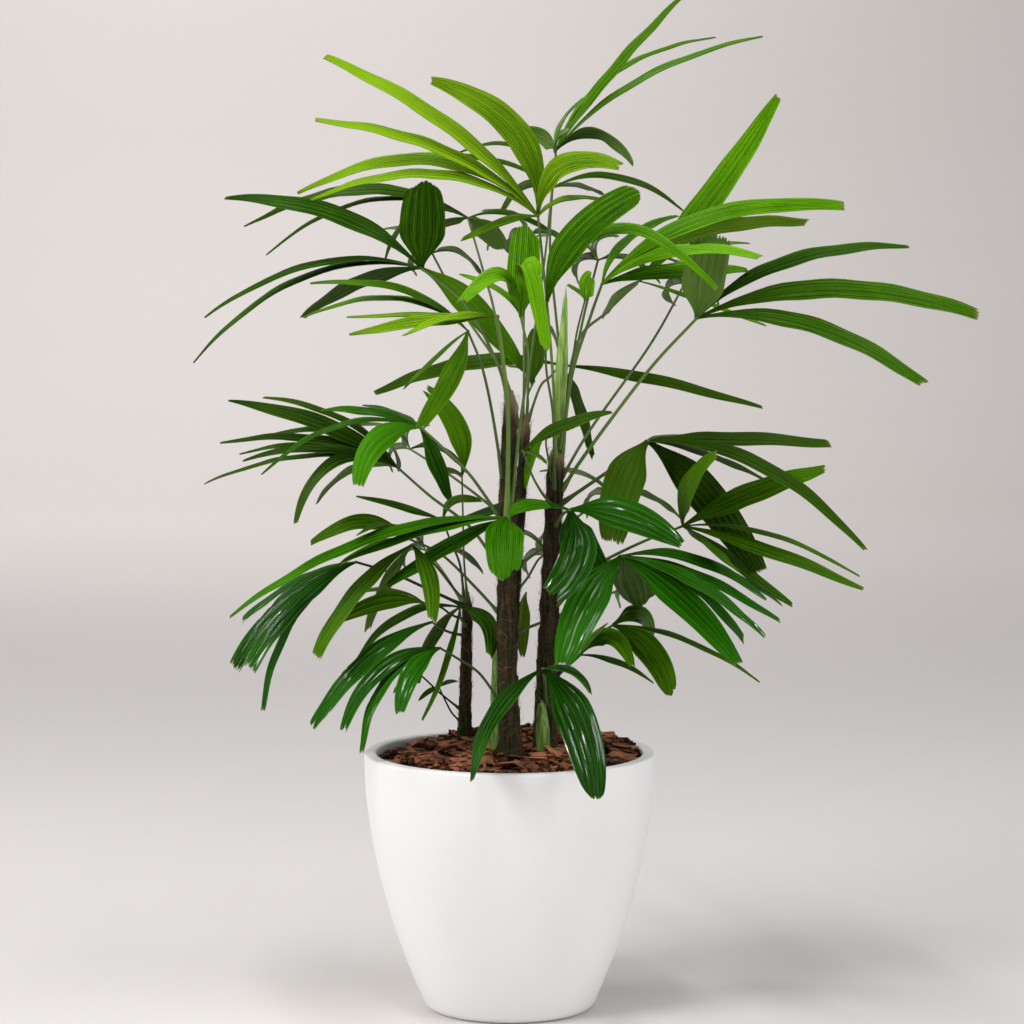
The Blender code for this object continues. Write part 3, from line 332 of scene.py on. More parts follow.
# Their ends: how bare of teeth, how round and how slanting, and how far back from the tip the cut reaches
BARE_END = 0.5
BAREST = 1.7
ROUND_BARE = 0.4
END_ROUND = (-0.12, 0.95)
END_REACH = (0.12, 0.1)
END_POWER = 12
END_SLANT = 0.3
END_CROWDING = 1.35

# Their teeth, and the notches that some have
TOOTH_DEPTH = (0.0010, 0.0042)
TOOTH_SPREAD = 0.0022
NOTCH_SHARE = 0.25
NOTCH_DEPTH = (0.005, 0.013)
NOTCH_SLOPE = 2.2

# Their waving, paler edges, and their tone: plain, how far it strays from that, and how it drifts along them
EDGE_WAVE = 0.0007
EDGE_WAVES = 90
EDGE_SWELL = (1.5, 3.0)
EDGE_PALE = 0.28
EDGE_POWER = 6
PLAIN_TONE = 0.5
TONE_SPREAD = 0.22
LENGTH_DRIFT = 0.3

# How far along a rod's line its direction is taken
ROD_BESIDE = 0.01

# Stalks and hubs: a stalk widens towards its cane, and more where it clasps it
STALK_SIDES = 10
STALK_ROWS = 26
STALK_SLIM = 0.78
STALK_TAPER = (0.75, 0.3)
STALK_FLAT = 0.12
STALK_SUNK = 0.8
HUB_SHARE = 1.05
CLASP = 1.7
CLASP_FROM = 0.86

# A fan's materials in order
UPPER, UNDER, STALK = 0, 1, 2

# Canes: the ledges of their sheaths, the ridges and lumps on them, and the round top
CANE_SIDES = 44
CANE_ROWS = 150
CANE_TIP = 0.018
TIP_SHARE = 0.3
SHEATH_STEP = 0.031
SHEATH_LEDGE = 0.13
SHEATH_MEAN = 0.4
SHEATH_WAVER = 0.008
RIDGE_HEIGHT = 0.035
RIDGES = 13
RIDGE_WAVER = 3
RIDGE_PER_METRE = 30
LUMP_HEIGHT = 0.1
LUMPS_ROUND = 1.6
LUMPS_PER_METRE = 75

# Fibres on the canes: where they start and how far they rise, wind round and stand off
FIBRES_PER_METRE = 2600
FIBRE_RADIUS = 0.00012
FIBRE_THICKNESS = (0.7, 1.5)
FIBRE_TAPER = 0.6
FIBRE_SIDES = 3
FIBRE_ROWS = 7
FIBRE_ENDS = (0.004, 0.006)
FIBRE_RISE = (-0.004, 0.016)
FIBRE_SWEEP = (0.4, 1.8)
FIBRE_SWING = 0.12
FIBRE_WAVES = 7
FIBRE_OUT = 1.05
FIBRE_BULGE = 0.0005
FIBRE_LOOSE = 0.006
LOOSE_POWER = 7

# Young shoots: their folds, how those wind, and the point they are drawn out to
SHOOT_SIDES = 30
SHOOT_ROWS = 60
SHOOT_FOLD = 0.13
SHOOT_FOLDS = 5
SHOOT_TWIST = 2.5
SHOOT_POINT = 0.15
SHOOT_POINT_RUN = 9

# The mulch's fine matter: a bed with a grain and low lumps
BED_SIDES = 110
BED_RINGS = 30
BED_GAP = 0.0006
BED_DRAFT = 0.001
BED_BELOW = 0.0035
BED_DEEP = 0.02
BED_GRAIN = 0.0022
BED_TONE = 0.1
GRAIN_PER_METRE = 240
GRAIN_SHARE = 0.98
CLOD_HEIGHT = 0.0026
CLOD_PER_METRE = 38.0

# Its flakes: most are small, the big ones are pale, and they lie at all angles with torn, uneven corners
CHIP_COUNT = 2000
CHIP_LENGTH = (0.0035, 0.031)
CHIP_RARITY = 4.5
CHIP_WIDTH = (0.28, 0.8)
CHIP_THICKNESS = (0.0009, 0.0024)
CHIP_INSET = 0.42
CHIP_DEPTH = (-0.0035, 0.0014)
CHIP_LEAN = 0.3
CHIP_PITCH = 0.2
CHIP_TAPER = (0.1, 0.8)
CHIP_BEND = 0.25
CHIP_RAGGED = (0.08, 0.18, 0.22)
CHIP_TORN = 0.55
CHIP_TORN_FROM = 0.85
CHIP_TONE = 0.56
CHIP_TONE_POWER = 2.6
BIG_CHIP_TONE = 38.0
BIG_CHIP_FROM = 0.013

# Where the mulch's grain, its lumps and its random draws start
GRAIN_SEED = 3
CLOD_SEED = 7
MULCH_SEED = 11


def smooth(value):
    """A soft step from 0 to 1."""
    value = min(max(value, 0.0), 1.0)
    return value * value * (3 - 2 * value)


def finished(name, bm, *finishes, crease=CREASE):
    """A bmesh as a named object with these materials, its place in its mesh."""
    mesh = bpy.data.meshes.new(name)
    bm.to_mesh(mesh)
    bm.free()
    for finish in finishes:
        mesh.materials.append(finish)
    mesh.shade_smooth()
    mesh.set_sharp_from_angle(angle=math.radians(crease))
    made = bpy.data.objects.new(name, mesh)
    bpy.context.scene.collection.objects.link(made)
    return made


def dressed(piece, slot, *nodes):
    """The piece rides on the plant's one body and stands for these nodes; the slot is not used."""
    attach(piece, "root")
    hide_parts(*nodes)
    return piece


def joined(target, source):
    """Adds one bmesh to another and frees it."""
    carrier = bpy.data.meshes.new("carrier")
    source.to_mesh(carrier)
    source.free()
    target.from_mesh(carrier)
    bpy.data.meshes.remove(carrier)


def placed(across, up, depth):
    """The point that is seen at this place of the sheet, at this depth in metres behind the pot's axis."""
    forward = Vector((0.0, math.cos(SIGHT_PITCH), -math.sin(SIGHT_PITCH)))
    rise = Vector((0.0, math.sin(SIGHT_PITCH), math.cos(SIGHT_PITCH)))
    ray = forward * SHEET_DISTANCE + Vector((1, 0, 0)) * (across - SHEET_CENTRE[0]) * MM
    ray += rise * (up - SHEET_CENTRE[1]) * MM
    return EYE + ray * ((depth - EYE.y) / ray.y)


def cane_radius(cane, height):
    """A cane's radius: a flare at the foot, then a slow taper."""
    share = (height - CANE_SEAT) / (cane.height - CANE_SEAT)
    radius = cane.foot_radius + (cane.top_radius - cane.foot_radius) * share
    flare = max(0.0, 1 - (height - CANE_SEAT) / CANE_FLARE_HEIGHT)
    return radius * (1 + (CANE_FLARE - 1) * flare)


def cane_centre(cane, height):
    """The cane's middle at a height: a straight lean with a slight bow."""
    share = (height - CANE_SEAT) / (cane.height - CANE_SEAT)
    x = cane.foot[0] + (cane.top[0] - cane.foot[0]) * share + cane.bow * 4 * share * (1 - share)
    y = cane.foot[1] + (cane.top[1] - cane.foot[1]) * share
    return Vector((x, y, height))


def smooth_path(points):
    """A smooth curve through the points, as a function of 0..1."""
    ends = [points[0] * 2 - points[1], *points, points[-1] * 2 - points[-2]]

    def along(share):
        place = share * (len(points) - 1)
        index = min(int(place), len(points) - 2)
        t = place - index
        a, b, c, d = ends[index:index + 4]
        return 0.5 * (
            2 * b + (c - a) * t + (2 * a - 5 * b + 4 * c - d) * t * t + (3 * b - a - 3 * c + d) * t ** 3)

    return along


def leaflet_curve(plan, leaf, lean):
    """The leaflet's midline from hub to tip, as a function of 0..1; lean shifts its tip in depth."""
    across, up, depth = plan.hub
    reach = math.hypot(leaf.across, leaf.up)
    spare = math.sqrt(max(plan.length ** 2 - reach ** 2, 0.0)) * leaf.side * MM + lean
    bow = Vector((-leaf.up, leaf.across)) / reach
    if bow.y < 0:
        bow = -bow
    middle = Vector((leaf.across, leaf.up)) * CONTROL_SHARE + bow * 2 * leaf.arch
    middle += Vector((leaf.swing, leaf.rise))
    root = placed(across, up, depth * MM)
    bend = placed(across + middle.x, up + middle.y, depth * MM + spare * CONTROL_SHARE)
    tip = placed(across + leaf.across, up + leaf.up, depth * MM + spare)
    return lambda t: root * (1 - t) ** 2 + bend * 2 * t * (1 - t) + tip * t * t


def blade_frame(curve, t, tilt, facing):
    """The blade's centre, its direction along and across, and its upward normal at a place along it."""
    centre = curve(t)
    along = (curve(min(t + BESIDE, 1.0)) - curve(max(t - BESIDE, 0.0))).normalized()
    sight = (centre - EYE).normalized()
    flat = sight.cross(along).normalized()
    middle = sight.cross(curve(0.6) - curve(0.4))
    if middle.z < 0:
        flat = -flat
    normal = flat * math.sqrt(1 - tilt * tilt) - sight * tilt * facing
    wide = normal.cross(along).normalized()
    return centre, along, wide, along.cross(wide).normalized()


def leans():
    """Depth shifts that the source's rule tries, smallest first, to either side in turn."""
    yield 0.0
    for step in range(1, SETTLE_TRIES):
        yield step * SETTLE_STEP
        yield -step * SETTLE_STEP


def solid_tree(node):
    """A search tree of one CAD node's surface."""
    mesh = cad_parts[node].data
    return BVHTree.FromPolygons([v.co for v in mesh.vertices], [p.vertices for p in mesh.polygons])


def leaflet_lean(tree, plan, leaf):
    """The lean at which the frame holds this leaflet, or None where the rule left it out."""
    def miss(lean):
        curve = leaflet_curve(plan, leaf, lean)
        return max(tree.find_nearest(curve(t))[3] for t in BLADE_PLACES)

    best = min(leans(), key=miss)
    return best if miss(best) < BLADE_NEAR else None


def stalk_line(plan, lean):
    """The stalk's middle line, from its hub down into the fibres of its cane."""
    seat = cane_centre(CANES[plan.cane], plan.seat * MM)
    depth = plan.hub[2] * MM
    points = [placed(*plan.hub[:2], depth)]
    for index, (across, up) in enumerate(plan.stalk):
        share = (index + 1) / (len(plan.stalk) + 1)
        points.append(placed(across, up, depth + (seat.y - depth) * share + lean))
    side = points[-1] - seat
    side.z = 0
    points.append(seat + side.normalized() * cane_radius(CANES[plan.cane], plan.seat * MM) * STALK_SUNK)
    return points


def stalk_lean(tree, plan):
    """The lean at which the frame holds this stalk: the one whose line keeps nearest to the solid's surface."""
    def miss(lean):
        line = smooth_path(stalk_line(plan, lean))
        return sum(tree.find_nearest(line(t))[3] for t in STALK_PLACES)

    return min(leans(), key=miss)


def width_share(along, end):
    """How wide a leaflet is along its length: narrow, widest before the middle, then a slow taper."""
    root = ROOT_SHARE + (1 - ROOT_SHARE) * smooth(along / WIDEST_AT)
    past = max((along - WIDEST_AT) / (1 - WIDEST_AT), 0.0)
    return root * (1 - (1 - end) * past ** TAPER)


def stubbiness(leaf):
    """0 for a long leaflet, 1 for one that is nearly as wide as it is long."""
    return smooth((abs(leaf.width) / math.hypot(leaf.across, leaf.up) - STUBBY_FROM) / STUBBY_RUN)


def end_share(leaf):
    """How wide a leaflet's cut end is as a share of its full width: narrow ones run to a point."""
    narrow, broad = END_WIDTH
    share = smooth((abs(leaf.width) - END_WIDTH_FROM) / END_WIDTH_RUN)
    return narrow + (broad - narrow) * share + END_STUBBY * stubbiness(leaf)


FLAT_LEAVES = {}


def flat_leaf(ribs):
    """A flat closed sheet, two units wide and long, that each leaflet with this many ribs is bent from."""
    if ribs not in FLAT_LEAVES:
        bm = bmesh.new()
        bmesh.ops.create_grid(bm, x_segments=ribs * COLUMNS_PER_RIB, y_segments=LEAF_ROWS, size=1.0)
        bmesh.ops.solidify(bm, geom=bm.faces[:], thickness=FLAT_DEPTH)
        bmesh.ops.recalc_face_normals(bm, faces=bm.faces)
        middle = sum(vert.co.z for vert in bm.verts) / len(bm.verts)
        bmesh.ops.translate(bm, verts=bm.verts, vec=(0, 0, -middle))
        uv = bm.loops.layers.uv.new("leaf")
        bm.verts.layers.float.new("tone")
        for face in bm.faces:
            face.material_index = UPPER if face.normal.z > 0.5 else UNDER
            for loop in face.loops:
                loop[uv].uv = ((loop.vert.co.x + 1) / 2 * ribs, (loop.vert.co.y + 1) / 2)
        FLAT_LEAVES[ribs] = bm
    return FLAT_LEAVES[ribs].copy()


def tooth_cuts(ribs, chance):
    """How much shorter than its tip a leaflet is at a place across it: small teeth and, on some, a notch."""
    ends = [chance.uniform(0, TOOTH_SPREAD) for _ in range(ribs)]
    teeth = [chance.uniform(*TOOTH_DEPTH) for _ in range(2 * ribs)]
    notch = chance.randint(1, ribs - 1)
    depth = chance.uniform(*NOTCH_DEPTH) if chance.random() < NOTCH_SHARE else 0.0

    def cut(pleat):
        tooth = min(int(2 * pleat), 2 * ribs - 1)
        off = abs(2 * (2 * pleat - tooth) - 1)
        return ends[tooth // 2] + teeth[tooth] * off + depth * max(0.0, 1 - NOTCH_SLOPE * abs(pleat - notch))

    return cut


def bent_leaf(plan, leaf, lean, tone, end, rounded, chance):
    """One leaflet, bent along its curve, with pleats, a slight camber and a toothed end."""
    full = max(plan.blade, abs(leaf.width)) * MM
    tilt = abs(leaf.width) * MM / full
    facing = math.copysign(1.0, leaf.width)
    ribs = min(max(round(full / RIB_SPACING), FEWEST_RIBS), MOST_RIBS)
    curve = leaflet_curve(plan, leaf, lean)
    length = (curve(1.0) - curve(0.5)).length + (curve(0.5) - curve(0.0)).length
    end += chance.uniform(-END_SPREAD, END_SPREAD)
    bare = min(end / BARE_END, BAREST)
    stubby = stubbiness(leaf)
    if rounded:
        bare, stubby = bare * ROUND_BARE, 1.0
    bowed = END_ROUND[0] + (END_ROUND[1] - END_ROUND[0]) * stubby
    reach = length * (END_REACH[0] + END_REACH[1] * stubby)
    drift = chance.uniform(-LENGTH_DRIFT, LENGTH_DRIFT)
    slant = chance.uniform(-END_SLANT, END_SLANT)
    cut = tooth_cuts(ribs, chance)
    phase, swell = chance.uniform(0, math.tau), chance.uniform(*EDGE_SWELL)
    frames = {}
    bm = flat_leaf(ribs)
    layer = bm.verts.layers.float["tone"]
    for vert in bm.verts:
        x, row, face = vert.co.x, (vert.co.y + 1) / 2, vert.co.z
        place = 1 - (1 - row) ** END_CROWDING
        key = round(row * LEAF_ROWS)
        if key not in frames:
            frames[key] = (*blade_frame(curve, place, tilt, facing), full / 2 * width_share(place, end))
        centre, along, wide, normal, half = frames[key]
        pleat = (x + 1) / 2 * ribs
        lift = PLEAT_DEPTH * math.cos(math.tau * pleat)
        lift *= PLEAT_LEAST + (1 - PLEAT_LEAST) * half / (full / 2)
        lift -= CAMBER * half * x * x * (CAMBER_LEAST + (1 - CAMBER_LEAST) * tilt)
        wave = math.sin(phase + place * length * EDGE_WAVES * swell / 2)
        lift += EDGE_WAVE * wave * x * x * smooth(place * 2)
        lift += math.copysign(LEAF_THICKNESS / 2, face)
        shorter = cut(pleat) * bare + full / 2 * end * (bowed * x * x + abs(slant) + slant * x)
        shorter = max(min(shorter, reach), 0.0) * place ** END_POWER
        vert.co = centre + wide * half * x + normal * lift - along * shorter
        vert[layer] = tone + EDGE_PALE * x ** EDGE_POWER + drift * (place - 0.5)
    if wide.cross(along).dot(normal) < 0:
        bmesh.ops.reverse_faces(bm, faces=bm.faces[:])
    return bm


def rod(sides, rows):
    """A closed upright rod of radius 1 from height 0 to 1, with this many rings."""
    bm = bmesh.new()
    bmesh.ops.create_cone(bm, segments=sides, radius1=1, radius2=1, depth=1, cap_ends=True)
    bmesh.ops.translate(bm, verts=bm.verts, vec=(0, 0, 0.5))
    upright = [edge for edge in bm.edges if abs(edge.verts[0].co.z - edge.verts[1].co.z) > 0.5]
    bmesh.ops.subdivide_edges(bm, edges=upright, cuts=rows - 2, use_grid_fill=True)
    return bm


def bent_rod(sides, rows, line, radius):
    """A rod that follows a line, with its radius given by its share along and its turn."""
    bm = rod(sides, rows)
    frames = []
    for row in range(rows):
        share = row / (rows - 1)
        ahead = line(min(share + ROD_BESIDE, 1.0)) - line(max(share - ROD_BESIDE, 0.0))
        turn = before.rotation_difference(ahead) @ turn if row else ahead.to_track_quat("Z", "Y")
        before = ahead
        frames.append((line(share), turn.to_matrix()))
    for vert in bm.verts:
        share = vert.co.z
        centre, turn = frames[round(share * (rows - 1))]
        thick = radius(share, math.atan2(vert.co.y, vert.co.x))
        vert.co = centre + turn @ Vector((vert.co.x, vert.co.y, 0)) * thick
    return bm


def painted(bm, index, tone=PLAIN_TONE):
    """Gives a bmesh one material index and one tone."""
    layer = bm.verts.layers.float.get("tone") or bm.verts.layers.float.new("tone")
    for face in bm.faces:
        face.material_index = index
    for vert in bm.verts:
        vert[layer] = tone
    return bm


def fan_stalk(plan, lean, tone):
    """The stalk, which widens where it clasps its cane, and the knob that its leaflets grow from."""
    def thickness(share, turn):
        clasp = 1 + (CLASP - 1) * smooth((share - CLASP_FROM) / (1 - CLASP_FROM))
        taper = STALK_TAPER[0] + STALK_TAPER[1] * share
        return plan.radius * MM * STALK_SLIM * taper * clasp * (1 - STALK_FLAT * math.cos(2 * turn))

    bm = bent_rod(STALK_SIDES, STALK_ROWS, smooth_path(stalk_line(plan, lean)), thickness)
    knob = bmesh.new()
    bmesh.ops.create_icosphere(knob, subdivisions=2, radius=plan.radius * MM * STALK_SLIM * HUB_SHARE)
    bmesh.ops.translate(knob, verts=knob.verts, vec=placed(*plan.hub[:2], plan.hub[2] * MM))
    joined(bm, knob)
    return painted(bm, STALK, tone)


def fan_piece(name, plan, finishes, slot):
    """One fan with all its leaflets and its stalk, in place of its solid."""
    chance = random.Random(name)
    tree = solid_tree(name)
    bm = fan_stalk(plan, stalk_lean(tree, plan), STALK_TONES.get(name, PLAIN_TONE))
    tones, ends = LEAF_TONES_AND_SHADE.get(name, ()), LEAF_ENDS.get(name, ())
    for number, leaf in enumerate(plan.leaflets):
        lean = leaflet_lean(tree, plan, leaf)
        if lean is None:
            continue
        # A listed tone is partly painted light and shade for how the leaflet lies to the lamps
        tone = tones[number] if number < len(tones) else PLAIN_TONE + chance.uniform(-TONE_SPREAD, TONE_SPREAD)
        end = ends[number] if number < len(ends) and ends[number] else end_share(leaf)
        blade = bent_leaf(plan, leaf, lean, tone, end, (name, number) in ROUND_LEAVES, chance)
        if (name, number) in DULL_LEAVES:
            for face in blade.faces:
                face.material_index = UNDER
        joined(bm, blade)
    piece = finished(name.replace("frond", "fan"), bm, *finishes)
    return dressed(piece, slot, name)


def cane_piece(name, cane, finishes):
    """One cane in its overlapping fibre sheaths, with a net of fibres round it."""
    chance = random.Random(name)
    seed = chance.uniform(0, 10)
    span = cane.height - CANE_SEAT

    def line(share):
        return cane_centre(cane, CANE_SEAT + span * share)

    def relief(share, turn):
        height = CANE_SEAT + span * share
        sheath = ((height + SHEATH_WAVER * math.sin(turn + seed)) / SHEATH_STEP + seed) % 1.0
        waver = RIDGE_WAVER * noise.noise(Vector((turn, height * RIDGE_PER_METRE, seed)))
        ridges = RIDGE_HEIGHT * math.cos(RIDGES * turn + waver)
        around = Vector((
            math.cos(turn) * LUMPS_ROUND, math.sin(turn) * LUMPS_ROUND, height * LUMPS_PER_METRE + seed))
        skin = 1 + SHEATH_LEDGE * (sheath ** 2 - SHEATH_MEAN) + ridges + LUMP_HEIGHT * noise.noise(around)
        tip = smooth((1 - share) * span / CANE_TIP)
        return cane_radius(cane, height) * skin * (TIP_SHARE + (1 - TIP_SHARE) * tip)

    bm = painted(bent_rod(CANE_SIDES, CANE_ROWS, line, relief), 0)
    layer = bm.verts.layers.float["tone"]
    for vert in bm.verts:
        vert[layer] = (vert.co.z - CANE_SEAT) / span
    for _ in range(round(FIBRES_PER_METRE * span)):
        joined(bm, painted(fibre(cane, chance), 1, chance.random()))
    return dressed(finished(name.replace("cane", "stem"), bm, *finishes), "cane_fibre", name)


def fibre(cane, chance):
    """One fibre: most lie tight round the cane, and a few stand away from it."""
    start = chance.uniform(CANE_SEAT + FIBRE_ENDS[0], cane.height - FIBRE_ENDS[1])
    rise = min(chance.uniform(*FIBRE_RISE), cane.height - FIBRE_ENDS[0] - start)
    turn = chance.uniform(0, math.tau)
    sweep = chance.choice((-1, 1)) * chance.uniform(*FIBRE_SWEEP)
    wave, swing = chance.uniform(0, math.tau), chance.uniform(0.0, FIBRE_SWING)
    loose = FIBRE_LOOSE * chance.random() ** LOOSE_POWER
    thick = FIBRE_RADIUS * chance.uniform(*FIBRE_THICKNESS)

    def line(share):
        height = start + rise * share
        out = cane_radius(cane, height) * FIBRE_OUT + FIBRE_BULGE * math.sin(math.pi * share) + loose * share
        angle = turn + sweep * share + swing * math.sin(wave + FIBRE_WAVES * share)
        return cane_centre(cane, height) + Vector((math.cos(angle), math.sin(angle), 0)) * out

    return bent_rod(FIBRE_SIDES, FIBRE_ROWS, line, lambda share, angle: thick * (1 - FIBRE_TAPER * share))


def shoot_piece(name, shoot, finish):
    """A short green shoot: a rolled leaf with soft folds, drawn out to a point."""
    foot, middle, top = shoot.radii
    low = Vector((*shoot.foot, shoot.low))
    high = Vector((*shoot.top, shoot.high))

    def radius(share, turn):
        part = 2 * share
        plain = foot + (middle - foot) * part if part < 1 else middle + (top - middle) * (part - 1)
        folds = 1 + SHOOT_FOLD * math.cos(SHOOT_FOLDS * turn + SHOOT_TWIST * share)
        return plain * folds * (SHOOT_POINT + (1 - SHOOT_POINT) * smooth((1 - share) * SHOOT_POINT_RUN))

    bm = bent_rod(SHOOT_SIDES, SHOOT_ROWS, lambda share: low.lerp(high, share), radius)
    piece_name = name.replace("sheath", "husk").replace("shoot", "sprout").replace("spear", "rolled")
    piece = finished(piece_name, painted(bm, 0, SHOOT_TONES[name]), finish)
    return dressed(piece, "young_green", name)


def pot_outer_radius(height):
    """The pot's outer radius: it bulges out from the foot and stands upright at the rim."""
    share = min(height / POT_HEIGHT, 1.0)
    return POT_FOOT_RADIUS + (POT_RIM_RADIUS - POT_FOOT_RADIUS) * (1 - (1 - share) ** POT_BULGE)


def turned(profile, sides):
    """A bmesh turned from a (radius, height) profile that starts and ends on the axis."""
    bm = bmesh.new()
    verts = [bm.verts.new((radius, 0, height)) for radius, height in profile]
    edges = [bm.edges.new(pair) for pair in zip(verts, verts[1:])]
    bmesh.ops.spin(bm, geom=verts + edges, cent=(0, 0, 0), axis=(0, 0, 1), angle=math.tau,
        steps=sides, use_merge=True, use_duplicate=False)
    bmesh.ops.remove_doubles(bm, verts=bm.verts, dist=1e-6)
    bmesh.ops.recalc_face_normals(bm, faces=bm.faces)
    return bm


def round_corner(start, corner, end):
    """Points of a round corner from start to end, both left out."""
    made = []
    for step in range(1, CORNER_STEPS):
        t = step / CORNER_STEPS
        made.append(tuple(
            a * (1 - t) ** 2 + b * 2 * t * (1 - t) + c * t * t for a, b, c in zip(start, corner, end)))
    return made


def pot_piece(finish):
    """The pot: a flat underside, a round corner, a bulging wall and a softly rounded lip."""
    low = POT_FOOT_CORNER
    heights = [low + (POT_HEIGHT - POT_LIP - low) * row / POT_ROWS for row in range(POT_ROWS + 1)]
    under = (POT_FOOT_RADIUS - POT_FOOT_CORNER, 0)
    outer = [(pot_outer_radius(height), height) for height in heights]
    inner = [(radius - POT_WALL, height) for radius, height in reversed(outer) if height > POT_FLOOR]
    top = [(POT_RIM_RADIUS - POT_LIP, POT_HEIGHT), (POT_RIM_RADIUS - POT_WALL + POT_LIP, POT_HEIGHT)]
    profile = [(0, 0), under]
    profile += round_corner(under, (pot_outer_radius(0), 0), outer[0]) + outer
    profile += round_corner(outer[-1], (POT_RIM_RADIUS, POT_HEIGHT), top[0]) + top
    profile += round_corner(top[1], (POT_RIM_RADIUS - POT_WALL, POT_HEIGHT), inner[0]) + inner
    profile.append((0, POT_FLOOR))
    piece = finished("white_planter", turned(profile, POT_SIDES), finish, crease=POT_CREASE)
    return dressed(piece, "pot_white", "pot")


def mulch_surface(x, y):
    """The mulch's height: a low mound, banked up at the back."""
    inner = POT_RIM_RADIUS - POT_WALL
    height = MULCH_LEVEL + MULCH_MOUND * (1 - (math.hypot(x, y) / inner) ** 2)
    bank = (y + x * MULCH_BANK_SKEW - MULCH_BANK_FROM) / MULCH_BANK_RUN
    return height + MULCH_BANK * min(max(bank, 0.0), 1.0)


def clod(x, y):
    """Low lumps of the mulch, a few centimetres across."""
    return CLOD_HEIGHT * noise.noise(Vector((x * CLOD_PER_METRE, y * CLOD_PER_METRE, CLOD_SEED)))


def bark_chip(chance, size):
    """One torn flake of bark: long, thin and uneven."""
    bm = bmesh.new()
    bmesh.ops.create_cube(bm, size=1.0)
    bmesh.ops.subdivide_edges(bm, edges=bm.edges[:], cuts=1, use_grid_fill=True)
    long, wide, thick = size
    taper, bend = chance.uniform(*CHIP_TAPER), chance.uniform(-CHIP_BEND, CHIP_BEND)
    for vert in bm.verts:
        x, y, z = vert.co
        shrink = 1 - taper * abs(x + 0.5) if chance.random() < CHIP_TORN_FROM else CHIP_TORN
        ragged = Vector([chance.uniform(-1, 1) * side * share for side, share in zip(size, CHIP_RAGGED)])
        vert.co = Vector((x * long, y * wide * shrink, z * thick + bend * thick * 4 * x * x)) + ragged
    return bm


def mulch_piece(finishes):
    """The bed of mulch: dark fine matter with bark flakes strewn over it."""
    chance = random.Random(MULCH_SEED)
    edge = pot_outer_radius(MULCH_LEVEL) - POT_WALL - BED_GAP
    top = [(edge * ring / BED_RINGS, BED_DEEP) for ring in range(BED_RINGS + 1)]
    bm = turned(top + [(edge - BED_DRAFT, 0), (0, 0)], BED_SIDES)
    for vert in bm.verts:
        x, y, z = vert.co
        grain = BED_GRAIN * noise.noise(Vector((x * GRAIN_PER_METRE, y * GRAIN_PER_METRE, GRAIN_SEED)))
        if math.hypot(x, y) >= edge * GRAIN_SHARE:
            grain = 0.0
        on_top = z > BED_DEEP / 2
        vert.co.z = mulch_surface(x, y) - BED_BELOW + grain + clod(x, y) if on_top else MULCH_LEVEL - BED_DEEP
    painted(bm, 0, BED_TONE)
    for _ in range(CHIP_COUNT):
        long = CHIP_LENGTH[0] + CHIP_LENGTH[1] * chance.random() ** CHIP_RARITY
        wide = long * chance.uniform(*CHIP_WIDTH)
        size = (long, wide, CHIP_THICKNESS[0] + CHIP_THICKNESS[1] * chance.random())
        out = math.sqrt(chance.random()) * (edge - long * CHIP_INSET)
        angle = chance.uniform(0, math.tau)
        x, y = out * math.cos(angle), out * math.sin(angle)
        height = mulch_surface(x, y) + clod(x, y) + chance.uniform(*CHIP_DEPTH)
        turn = Matrix.Rotation(chance.uniform(0, math.tau), 4, "Z")
        turn = turn @ Matrix.Rotation(chance.gauss(0, CHIP_LEAN), 4, "X")
        chip = bark_chip(chance, size)
        pitch = Matrix.Rotation(chance.gauss(0, CHIP_PITCH), 4, "Y")
        bmesh.ops.transform(chip, matrix=Matrix.Translation((x, y, height)) @ turn @ pitch, verts=chip.verts)
        tone = CHIP_TONE * chance.random() ** CHIP_TONE_POWER + BIG_CHIP_TONE * max(long - BIG_CHIP_FROM, 0.0)
        joined(bm, painted(chip, 1, min(tone, 1.0)))
    piece = finished("bark_bed", bm, *finishes, crease=CHIP_CREASE)
    return dressed(piece, "mulch_bark", "mulch")


